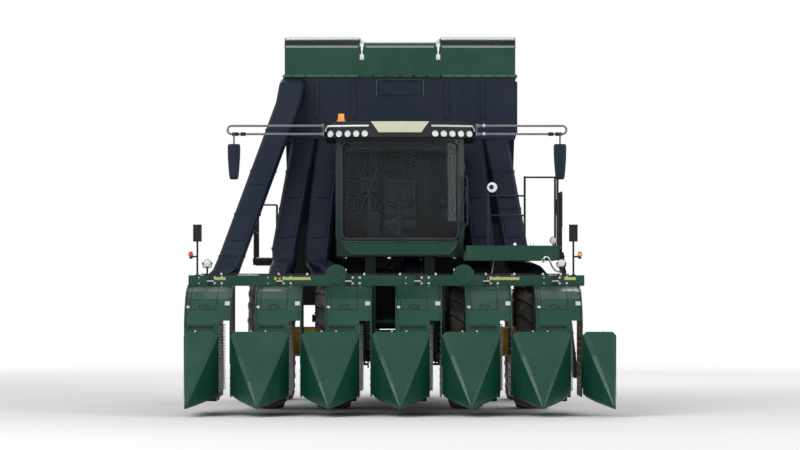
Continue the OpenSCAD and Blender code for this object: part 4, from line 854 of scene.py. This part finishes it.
def pad(name, lo, hi, seams, face):
    """A foam pad blown up by cloth simulation inside a capped distance, with sewn channels."""
    global bm
    lo, hi = Vector(lo), Vector(hi)
    inset = Vector((SWELL, SWELL, SWELL)) * 0.8
    bm = bmesh.new()
    box(lo + inset, hi - inset)
    bmesh.ops.bevel(bm, geom=bm.edges[:], offset=0.03, segments=3, affect="EDGES")
    bmesh.ops.triangulate(bm, faces=bm.faces)
    obj = to_object(name)
    for other in bpy.context.selected_objects:
        other.select_set(False)
    bpy.context.view_layer.objects.active = obj
    obj.select_set(True)
    remesh = obj.modifiers.new("remesh", "REMESH")
    remesh.mode, remesh.voxel_size = "VOXEL", VOXEL
    bpy.ops.object.modifier_apply(modifier=remesh.name)
    mesh = obj.data
    rest = [v.co.copy() for v in mesh.vertices]
    foam = obj.modifiers.new("foam", "CLOTH")
    foam.settings.use_pressure, foam.settings.uniform_pressure_force = True, 4.0
    foam.settings.effector_weights.gravity = 0.0
    foam.point_cache.frame_start, foam.point_cache.frame_end = 1, SIM_FRAMES
    for step in range(1, SIM_FRAMES + 1):
        bpy.context.scene.frame_set(step)
    blown = obj.evaluated_get(bpy.context.evaluated_depsgraph_get())
    moved = [v.co.copy() for v in blown.data.vertices]
    obj.modifiers.remove(foam)
    bpy.context.scene.frame_set(1)
    for v, a, b in zip(mesh.vertices, rest, moved):
        shift = b - a
        v.co = a + shift * min(1.0, SWELL / max(shift.length, 1e-9))
    centre, half = (lo + hi) / 2, (hi - lo) / 2
    along = 3 - face
    for v in mesh.vertices:
        normal = v.normal
        depth = sum(exp(-(((v.co.x - s) / 0.008) ** 2)) for s in seams)
        if abs(v.co.x - centre.x) < abs(seams[0]):
            # the seam that runs across, between the two long ones
            share = abs(v.co[along] - centre[along]) / half[along]
            depth += exp(-(((share - 0.62) / 0.025) ** 2))
        if abs(normal[face]) > 0.4:
            v.co -= normal * 0.009 * min(1.0, depth)
        # kept inside the CAD pad, and so flat where it rests
        v.co = Vector([min(max(c, a), b) for c, a, b in zip(v.co, lo, hi)])
    mesh.materials.append(FINISHES["seat_cloth"])
    mesh.shade_smooth()
    sub = obj.modifiers.new("smooth", "SUBSURF")
    sub.levels = sub.render_levels = 1
    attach(obj, "harvester")
    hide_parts("seat_cushions")
    return obj


def edge_cord(obj, lo, hi, face):
    """Points round a pad's side, a little below the face towards the sitter."""
    tree = BVHTree.FromPolygons([v.co for v in obj.data.vertices], [f.vertices for f in obj.data.polygons])
    lo, hi = Vector(lo), Vector(hi)
    centre, half = (lo + hi) / 2, (hi - lo) / 2
    centre[face] = hi.z - 0.026 if face == 2 else lo.y + 0.026
    points = []
    for a, b in rounded_loop(1.0, 1.0, 0.25, 9):
        out = Vector((a * half.x, b * half.y, 0)) if face == 2 else Vector((a * half.x, 0, b * half.z))
        hit = tree.ray_cast(centre + out * 1.5, -out)[0]
        if hit is not None:
            points.append(hit)
    return points


cords = []
for name, (lo, hi, seams, face) in PADS.items():
    cords.append(edge_cord(pad(name, lo, hi, seams, face), lo, hi, face))


@part("cab_trim")
def seat_piping():
    """Corded edge round the sitter's side of each pad."""
    for points in cords:
        tube(points, 0.0045, closed=True)


# Work lamps

LANDING_LAMP = Vector((2.16, -2.915, 2.425))
LANDING_AIM = Vector((0.35, -1, -0.25)).normalized()
BAR_LAMPS = (-2.7, 2.26)


@part("black_paint")
def work_lamp_bodies():
    """Housing and stalk of the round lamp over the landing's first post."""
    rod((1.24, -2.904, 3.05), (1.24, -2.904, 3.12), 0.012, sides=12)
    tube([(1.24, -2.904, 3.12), (1.25, -2.91, 3.16), (1.3, -2.93, 3.17)], 0.011, steps=5)
    turned((1.3, -2.955, 3.17), REAR,
           [(0.078, -0.004), (0.082, 0.0), (0.08, 0.012), (0.066, 0.03), (0.03, 0.042), (0, 0.044)], 36)


@part("black_paint")
def landing_lamp():
    """Oval lamp on a stalk at the landing's outer corner."""
    x, y, z = LANDING_LAMP
    rod((x, y + 0.01, 2.35), (x, y + 0.01, z), 0.01, sides=12)
    turned(LANDING_LAMP, -LANDING_AIM,
           [(0.05, -0.02), (0.054, -0.016), (0.052, 0.0), (0.034, 0.024), (0, 0.028)])


@part("black_paint", "head")
def bar_lamp_bodies():
    """Lamps on stalks at the tool bar's ends, with yokes and leads."""
    y, z = -3.235, 2.1
    shell = [(0.048, -0.036), (0.054, -0.034), (0.056, -0.02), (0.055, 0.006), (0.042, 0.034),
             (0.02, 0.046), (0, 0.047)]
    for x in BAR_LAMPS:
        box((x - 0.045, y - 0.03, BAR_TOP - 0.001), (x + 0.045, y + 0.03, BAR_TOP + 0.01))
        rod((x, y, BAR_TOP), (x, y, z - 0.062), 0.014, sides=14)
        for s in SIDES:
            tube([(x, y, z - 0.064), (x + s * 0.045, y, z - 0.06), (x + s * 0.062, y, z - 0.03),
                  (x + s * 0.062, y, z + 0.005)], 0.007, steps=4)
            bolt((x + s * 0.058, y, z), (s, 0, 0), 0.01)
        turned((x, y, z), REAR, shell, 32)
        tube([(x, y + 0.045, z - 0.005), (x + 0.004, y + 0.062, z - 0.04), (x, y + 0.05, z - 0.11),
              (x, y + 0.012, BAR_TOP + 0.008)], 0.0045, 6, steps=5)


@part("lamp_lens", "head")
def bar_lamp_lenses():
    """Stepped lenses of the tool bar's lamps."""
    for x in BAR_LAMPS:
        turned((x, -3.268, 2.1), FRONT,
               [(0.05, 0.0), (0.049, 0.006), (0.038, 0.01), (0.037, 0.007), (0.024, 0.012),
                (0.023, 0.009), (0.01, 0.013), (0, 0.014)], 32)


@part("zinc")
def landing_clips():
    """Bright clamps on the toe board and the bent grab tube down to the ladder."""
    for x in (1.62, 1.86):
        turned((x, -2.931, 2.352), UP, [(0.026, 0.0), (0.026, 0.02), (0.018, 0.034), (0, 0.04)], 20)
    tube([(2.02, -2.938, 2.13), (2.025, -2.962, 2.165), (2.06, -2.968, 2.19), (2.1, -2.962, 2.165),
          (2.135, -2.93, 2.08), (2.2, -2.8, 2.00), (2.276, -2.668, 1.98)], 0.014, 10, steps=6)
    rod((2.02, -2.946, 2.13), (2.02, -2.938, 2.13), 0.028, sides=18)


@part("black_paint")
def lamp_hubs():
    """Dark cap over the round lamp's bulb."""
    turned((1.29, -2.968, 3.175), FRONT, [(0.034, 0.0), (0.033, 0.006), (0.02, 0.012), (0, 0.014)])


@part("lamp_lens")
def work_lenses():
    """Stepped glass of the round lamp and of the oval one."""
    turned((1.3, -2.957, 3.17), FRONT, [(0.072, 0.0), (0.068, 0.006), (0.045, 0.012), (0, 0.015)], 36)
    turned(LANDING_LAMP + LANDING_AIM * 0.016, LANDING_AIM,
           [(0.047, 0.0), (0.044, 0.006), (0.025, 0.011), (0, 0.012)])


# Landing, ladder and deck


@part("zinc")
def gratings():
    """Bar gratings over the landing and the deck, and serrated treads on the ladder."""
    for x0, x1, y0, y1, z in ((0.935, 2.245, -2.925, -2.15, DECK_TOP), (-2.15, -1.7, -0.17, 1.07, 2.2)):
        bars = series(x0 + 0.01, 0.034, int((x1 - x0) / 0.034))
        boxes((bars, y0, z + 0.0002), (0.004, y1 - y0, 0.0158))
        boxes((x0, series(y0, 0.1, int((y1 - y0) / 0.1) + 1), z + 0.004), (x1 - x0, 0.006, 0.01))
    foot_x, foot_z = 2.46, 0.475
    for i in range(6):
        z = foot_z + 0.04 + i * (DECK_TOP - foot_z - 0.04) / 6
        x = foot_x + (LADDER_X - foot_x) * (z - foot_z) / (DECK_TOP - foot_z)
        boxes((x + 0.006, series(-2.655, 0.0435, 9), z + 0.0345), (0.063, 0.008, 0.0065))
        boxes(((x + 0.008, x + 0.062), -2.66, z + 0.0345), (0.005, 0.36, 0.0075))


@part("green_paint", bevel=0.0015)
def landing_trim():
    """Kick boards at the landing's edges and plates on its toe board."""
    top = 2.355
    box((2.24, -2.94, DECK_FACE), (2.2495, -2.7, top))
    box((2.24, -2.27, DECK_FACE), (2.2495, -2.14, top))
    box((1.72, -2.15, DECK_FACE), (2.24, -2.141, top))
    boxes(((1.19, 1.71, 2.174), -2.932, 2.3), (0.1, 0.003, 0.045))


@part("green_paint")
def landing_bolts():
    """Bolts of the toe board, the ladder's top and the deck."""
    bolts(((1.0, 1.3, 1.6, 1.9, 2.2), -2.94, (2.18, 2.325)), FRONT, 0.009)
    for z in (2.1, 2.2):
        bolts((LADDER_X + (DECK_TOP - z) * 0.1175 + 0.07, (-2.665, -2.295), z), (1, 0, 0.1), 0.009)
    bolts(((0.94, 1.6, 2.2), (-2.905, -2.17), DECK_FACE), UP, 0.01)


@part("black_plastic")
def grips():
    """Grab handle beside the door, and rubber sleeves on the ladder's rails."""
    tube([(0.9, -2.86, 2.62), (0.945, -2.865, 2.64), (0.95, -2.865, 2.7), (0.95, -2.865, 3.25),
          (0.945, -2.865, 3.31), (0.9, -2.86, 3.33)], 0.014, 10, steps=5)
    rods((RAIL_X, (-2.68, -2.28), 2.62), (0, 0, 0.48), 0.021, sides=18)
    rods((RAIL_X, (-2.68, -2.28), series(2.64, 0.06, 8)), (0, 0, 0.01), 0.0235, sides=18)


# Accumulator and ducts


def lerp(a, b, t):
    return tuple(p + (q - p) * t for p, q in zip(a, b))


@part("black_plastic")
def duct_bands():
    """Joint flanges round the air ducts, bevelled as the ducts are."""
    bands = [(duct, 0.36, (0.0, 0.36, 0.7, 0.985)) for duct in COLUMNS]
    bands += [(CENTRE_DUCT, 0.3, (0.02, 0.5, 0.97)), (OUTER_DUCT, 0.36, (0.0, 0.27, 0.55, 0.82))]
    d, corner, proud, half = DUCT_DEPTH / 2, 0.036, 0.008, 0.018
    for duct, width, shares in bands:
        w = width / 2
        half_outline = [(-w - proud, -d + corner), (-w - proud, d - corner),
                        (-w + corner, d + proud), (w - corner, d + proud)]
        outline = half_outline + [(-p, -q) for p, q in half_outline]
        for x, y, z in (lerp(*duct, t) for t in shares):
            skin([[(x + p, y + q, z + level) for p, q in outline] for level in (-half, half)])


@part("black_plastic", bevel=0.003)
def duct_covers():
    """Clean-out covers with two latches on each sloping duct's front."""
    front, side = Vector((0, -DUCT_DEPTH / 2, 0)), Vector((0.1, 0, 0))
    for duct, (t0, t1) in product([*COLUMNS, OUTER_DUCT], ((0.1, 0.27), (0.46, 0.62))):
        a, b = [Vector(lerp(*duct, t)) + front for t in (t0, t1)]
        up = (b - a).normalized()
        out = Vector((0, -up.z, up.y)).normalized()
        slab([a - side, a + side, b + side, b - side], out * 0.01)
        for s in SIDES:
            middle = (a + b) / 2 + s * side
            rod(middle - up * 0.03, middle + up * 0.03, 0.01, sides=10)


@part("black_paint")
def wall_bolts():
    """Bolts along the ledge, on the wall's ribs and round its hatch."""
    across = series(-1.6, 0.2, 17)
    bolts((across, -0.93, LEDGE_Z), FRONT, 0.01)
    bolts((across, 1.87, LEDGE_Z), REAR, 0.01)
    for s in SIDES:
        bolts((s * 1.72, series(-0.85, 0.2, 14), LEDGE_Z), (s, 0, 0), 0.01)
        bolts(((s * 0.676, s * 1.22), -0.92, (4.3, 4.45, 4.6, 4.75)), FRONT, 0.009)
    bolts(((-0.325, 0.325), -0.914, (4.62, 4.7, 4.78)), FRONT, 0.008)
    bolts(((-0.2, 0.0, 0.2), -0.914, (4.58, 4.82)), FRONT, 0.008)


@part("black_plastic", bevel=0.003)
def hatch_parts():
    """The hatch's lid, hinges and turn handles."""
    box((-0.312, -0.909, 4.595), (0.312, -0.899, 4.805))
    rods(((-0.23, 0.13), -0.912, 4.808), (0.1, 0, 0), 0.009, sides=10)
    boxes(((-0.215, 0.145), -0.925, 4.615), (0.07, 0.017, 0.02))


@part("worn_green_painted_highlight")
def wall_edges():
    """Lip of the ledge under the hood, lighter green as a painted highlight along it, and the rim round the
    hatch in the same green.
    """
    for s in SIDES:
        box((s * 0.62, -0.936, LEDGE_Z - 0.017), (s * 1.715, -0.929, LEDGE_Z + 0.018))
    tube([(x, -0.906, 4.7 + z) for x, z in rounded_loop(0.345, 0.13, 0.03)], 0.007, 6, closed=True)


@part("zinc")
def hood_struts():
    """Bright stays and brackets beside the hood's middle."""
    for s in SIDES:
        x, y, top = s * 0.562, -0.918, 5.35
        box((x - 0.03, -0.912, 5.12), (x + 0.03, -0.899, 5.2))
        box((x - 0.03, -0.912, 5.31), (x + 0.03, -0.899, 5.366))
        rod((x, y, 5.14), (x, y, top), 0.013, sides=14)
        rod((x, y, 5.25), (x, y, top), 0.019, sides=14)
        gusset = ((s * 0.5, -0.86, 5.371), (s * 0.586, -0.86, 5.371), (s * 0.586, -0.86, 5.438))
        slab(gusset, (0, 0.05, 0))


@part("green_paint", bevel=0.003)
def hood_ribs():
    """Ribs on the hood's front and rear, battens and hinges on its side lids."""
    ribs = [x - 0.018 for x in (-1.62, -1.12, -0.66, -0.22, 0.22, 0.66, 1.12, 1.62)]
    for y, d in HOOD_FACES:
        boxes((ribs, y - d * 0.001, 4.93), (0.036, d * 0.008, 0.37))
    for s in SIDES:
        boxes((s * 0.62, series(-0.57, 0.65, 4), 5.438), (s * 1.04, 0.04, 0.01))
        rods((s * 0.592, series(-0.6, 0.65, 4), 5.375), (0, 0.1, 0), 0.012, sides=10)


@part("zinc", bevel=0.002)
def hood_rims():
    """Bright rolled edges of the side lids."""
    for s in SIDES:
        for y, d in HOOD_FACES:
            tube([(s * x, y - d * 0.016, 5.424) for x in (0.6, 0.9, 1.2, 1.5, 1.685)], 0.019)
        tube([(s * 1.692, -0.85 + 0.265 * k, 5.436) for k in range(11)], 0.019)


@part("dull_zinc", bevel=0.002)
def hood_strips():
    """Light strips under the hood's top."""
    z, high = 5.296, 0.032
    for y, d in HOOD_FACES:
        boxes(((-1.69, 0.62), y - d * 0.001, z), (1.07, d * 0.01, high))
        box((-0.5, y - d * 0.001, z), (0.5, y + d * 0.009, z + high))
    for s in SIDES:
        box((s * 1.699, -0.86, z), (s * 1.708, 1.81, z + high))


@part("black_paint")
def hood_gaps():
    """Dark joints under the side lids."""
    low, high = 5.346, 5.392
    for (y, d), s in product(HOOD_FACES, SIDES):
        box((s * 0.6, y - d * 0.001, low), (s * 1.695, y + d * 0.003, high))
    for s in SIDES:
        box((s * 1.699, -0.88, low), (s * 1.703, 1.83, high))


@part("screen")
def hood_screens():
    """Punched screens in the hood's side recesses and on its middle, with their wires."""
    bay = (2.75 - 0.14) / 4
    low, high = 4.985, 0.283
    for s, i in product(SIDES, range(4)):
        y, width = -0.8 + i * bay, bay - 0.06
        boxes((s * 1.686, y + 0.012, low), (s * 0.004, width - 0.024, high))
        boxes((s * 1.6895, series(y + 0.027, (width - 0.06) / 19, 20), low), (s * 0.004, 0.006, high))
        boxes((s * 1.6895, y + 0.012, series(4.998, 0.028, 10)), (s * 0.006, width - 0.024, 0.004))
    for x, y in product((-0.53, 0.03), (-0.72, -0.02, 0.68)):
        wide, long = 0.5, 0.62
        boxes((x, y, 5.3702), (wide, long, 0.0038))
        boxes((series(x + 0.017, (wide - 0.04) / 15, 16), y, 5.373), (0.006, long, 0.005))
        boxes((x, series(y + 0.018, (long - 0.04) / 19, 20), 5.374), (wide, 0.004, 0.006))


# Chamber, gate and rear


def on_chamber(x, r, degrees):
    """A point at a radius and an angle from the module chamber's middle line."""
    a = radians(degrees)
    return Vector((x, CHAMBER_Y + r * cos(a), CHAMBER_Z + r * sin(a)))


def bearings(angles):
    """Flanged bearings with four bolts where the rollers' ends meet the side plates."""
    flange = [(0.085, 0), (0.085, 0.012), (0.055, 0.016), (0.052, 0.034), (0.03, 0.038), (0.028, 0.044),
              (0, 0.044)]
    for angle, s in product(angles, SIDES):
        turned(on_chamber(s * 1.2445, BEARING_R, angle), (s, 0, 0), flange)
        for b in (radians(45 + 90 * k) for k in range(4)):
            around = Vector((0, 0.069 * cos(b), 0.069 * sin(b)))
            bolt(on_chamber(s * 1.2565, BEARING_R, angle) + around, (s, 0, 0), 0.007)


part("black_paint", name="front_bearings")(lambda: bearings((105, 262)))
part("black_paint", "gate", name="gate_bearings")(lambda: bearings((-78, -48, -16, 16, 48, 76)))


@part("green_paint", "gate")
def gate_trim():
    """Rim along the gate's edge and the bolts beside it."""
    for s in SIDES:
        tube([on_chamber(s * 1.2455, 1.305, -80 + 160 * k / 32) for k in range(33)], 0.018)
        for k in range(24):
            bolt(on_chamber(s * 1.245, 1.265, -78 + 156 * k / 23), (s, 0, 0), 0.008)


@part("zinc", "gate")
def belt_lacing():
    """Steel lacing across each chamber belt's joint."""
    pitch = 2.43 / 7
    for i, angle in product(range(7), (-4, 31)):
        x = -1.215 + (i + 0.5) * pitch
        up = Vector((0, -sin(radians(angle)), cos(radians(angle))))
        for k in range(12):
            middle = on_chamber(x - pitch * 0.38 + k * pitch * 0.76 / 11, 1.3, angle)
            rod(middle - up * 0.014, middle + up * 0.014, 0.005, sides=6)


@part("green_paint", bevel=0.003)
def shield_ribs():
    """Pressed ribs and hinges of the side shields."""
    for s in SIDES:
        boxes((s * 1.364, 1.95, (2.05, 2.45, 2.85)), (s * 0.008, 1.41, 0.03))
        boxes((s * 1.364, (1.92, 3.38), 1.98), (s * 0.008, 0.03, 1.22))
        rods((s * 1.366, 1.885, (2.15, 3.05)), (0, 0, 0.12), 0.014, sides=12)


@part("zinc")
def latches():
    """Handles and latches of the shields, the cabinet and the radiator box."""
    pull = ((1.366, 2.55), (1.4, 2.56), (1.405, 2.6), (1.405, 2.7), (1.4, 2.74), (1.366, 2.75))
    for s in SIDES:
        tube([(s * x, 3.28, z) for x, z in pull], 0.009, steps=4)
    boxes((1.6598, (0.188, 0.318), 2.02), (0.0122, 0.024, 0.12))
    rods((1.665, (-0.155, 0.685), (1.65, 2.45)), (0, 0, 0.1), 0.011, sides=12)
    rods((-1.665, -0.165, (1.62, 2.55)), (0, 0, 0.1), 0.012, sides=12)
    boxes((-1.672, 0.66, (1.62, 2.55)), (0.0122, 0.04, 0.1))


@part("zinc")
def radiator_core():
    """Fins behind the radiator box's louvres."""
    boxes((-1.604, series(-0.13, 0.0275, 30), 1.57), (0.0045, 0.004, 1.06))


@part("black_paint", bevel=0.002)
def tank_parts():
    """Straps and filler caps of the side tanks."""
    cap = [(0.052, 0), (0.052, 0.03), (0.06, 0.032), (0.06, 0.052), (0.05, 0.058), (0, 0.06)]
    for s in SIDES:
        x, strap = s * 1.2705, s * 0.006
        boxes((x, series(0.075, 0.65, 3), 0.79), (strap, 0.05, 0.63))
        bolts((x + strap, series(0.1, 0.65, 3), (0.84, 1.38)), (s, 0, 0), 0.01)
        turned((x, 0.42, 1.3), (s, 0, 0), cap, 24)


@part("black_plastic", bevel=0.003)
def rear_frame():
    """Ribs on the accumulator's rear wall."""
    boxes((series(-1.33, 0.65, 5), WALL_REAR, 2.75), (0.06, 0.013, 2.05))
    boxes((-1.6, WALL_REAR, (3.3, 4.05)), (3.2, 0.011, 0.05))


@part("red_lens", bevel=0.006)
def tail_lamps():
    """Tail lamps on the accumulator's rear corners."""
    boxes(((-1.64, 1.5), WALL_REAR, 4.7), (0.14, 0.02, 0.1))


@part("zinc")
def frame_lines():
    """Steel lines along the frame rails, with their clamps."""
    for s in SIDES:
        for z in (1.135, 1.105):
            tube([(s * 0.345, -1.55, z), (s * 0.338, -1.45, z), (s * 0.338, 3.6, z), (s * 0.345, 3.7, z)],
                 0.009, steps=4)
        boxes((s * 0.325, series(-1.012, 1, 5), 1.092), (s * 0.027, 0.024, 0.054))


# Wheels


def hub_cap(side, x, y, z):
    """Cap over the hub and the six bolts round it, on the outer face of a wheel."""
    cap = [(0.092, 0), (0.092, 0.01), (0.075, 0.022), (0.035, 0.028), (0, 0.028)]
    turned((x, y, z), (side, 0, 0), cap, 32)
    for a in (2 * pi * k / 6 for k in range(6)):
        bolt((x, y + 0.115 * cos(a), z + 0.115 * sin(a)), (side, 0, 0), 0.009)


for s, label in ((-1, "right"), (1, "left")):
    for name, body, hub in (("front", "front_wheels", (s * 1.96, FRONT_AXLE_Y, 0.975)),
                            ("rear", "rear_wheel", (s * 2.02, 2.75, 0.875))):
        part("black_paint", f"{body}_{label}", name=f"{name}_hub_cap_{label}")(lambda: hub_cap(s, *hub))

# Studio


def look_at(obj, target):
    obj.rotation_euler = (Vector(target) - obj.location).to_track_quat("-Z", "Y").to_euler()


for name, place, size, power in (("key", (-11, -17, 13), (12, 9), 2250),
                                 ("fill", (14, -14, 7), (12, 8), 950),
                                 ("rim", (4, 16, 14), (14, 8), 1600)):
    lamp = show(bpy.data.objects.new(name, bpy.data.lights.new(name, "AREA")))
    lamp.data.shape, lamp.data.energy = "RECTANGLE", power
    lamp.data.size, lamp.data.size_y = size
    lamp.location = place
    look_at(lamp, (0, 0, 2.2))

world = bpy.data.worlds.new("studio")
bpy.context.scene.world = world
w = Nodes(world)
light = w.add("Background", {"Color": (0.95, 0.97, 1.0), "Strength": 0.55})
white = w.add("Background", {"Color": WHITE, "Strength": 1.0})
w.blend(w.seen_by_eye(), light, white, "OutputWorld")

# A pale floor that fades to the backdrop's white far from the object
s = material("studio_floor")
far = s.add("VectorMath", {0: s.coords}, operation="LENGTH").outputs["Value"]
diffuse = s.add("BsdfDiffuse", {"Color": (0.8, 0.8, 0.79)})
glow = s.add("Emission", {"Color": WHITE})
s.blend(s.times(s.ramp(far, 7.0, 30.0), s.seen_by_eye()), diffuse, glow, "OutputMaterial")
bm = bmesh.new()
bmesh.ops.create_circle(bm, cap_ends=True, segments=96, radius=900.0)
floor = to_object("floor")
floor.data.materials.append(FINISHES["studio_floor"])

camera = show(bpy.data.objects.new("camera", bpy.data.cameras.new("camera")))
camera.location = (0.0, -49.0, 1.65)
camera.data.sensor_width = 36.0
camera.data.lens = 147.0
camera.data.clip_end = 2500.0
look_at(camera, (0, -2.0, 2.66))
bpy.context.scene.camera = camera
bpy.context.scene.view_settings.view_transform = "Standard"
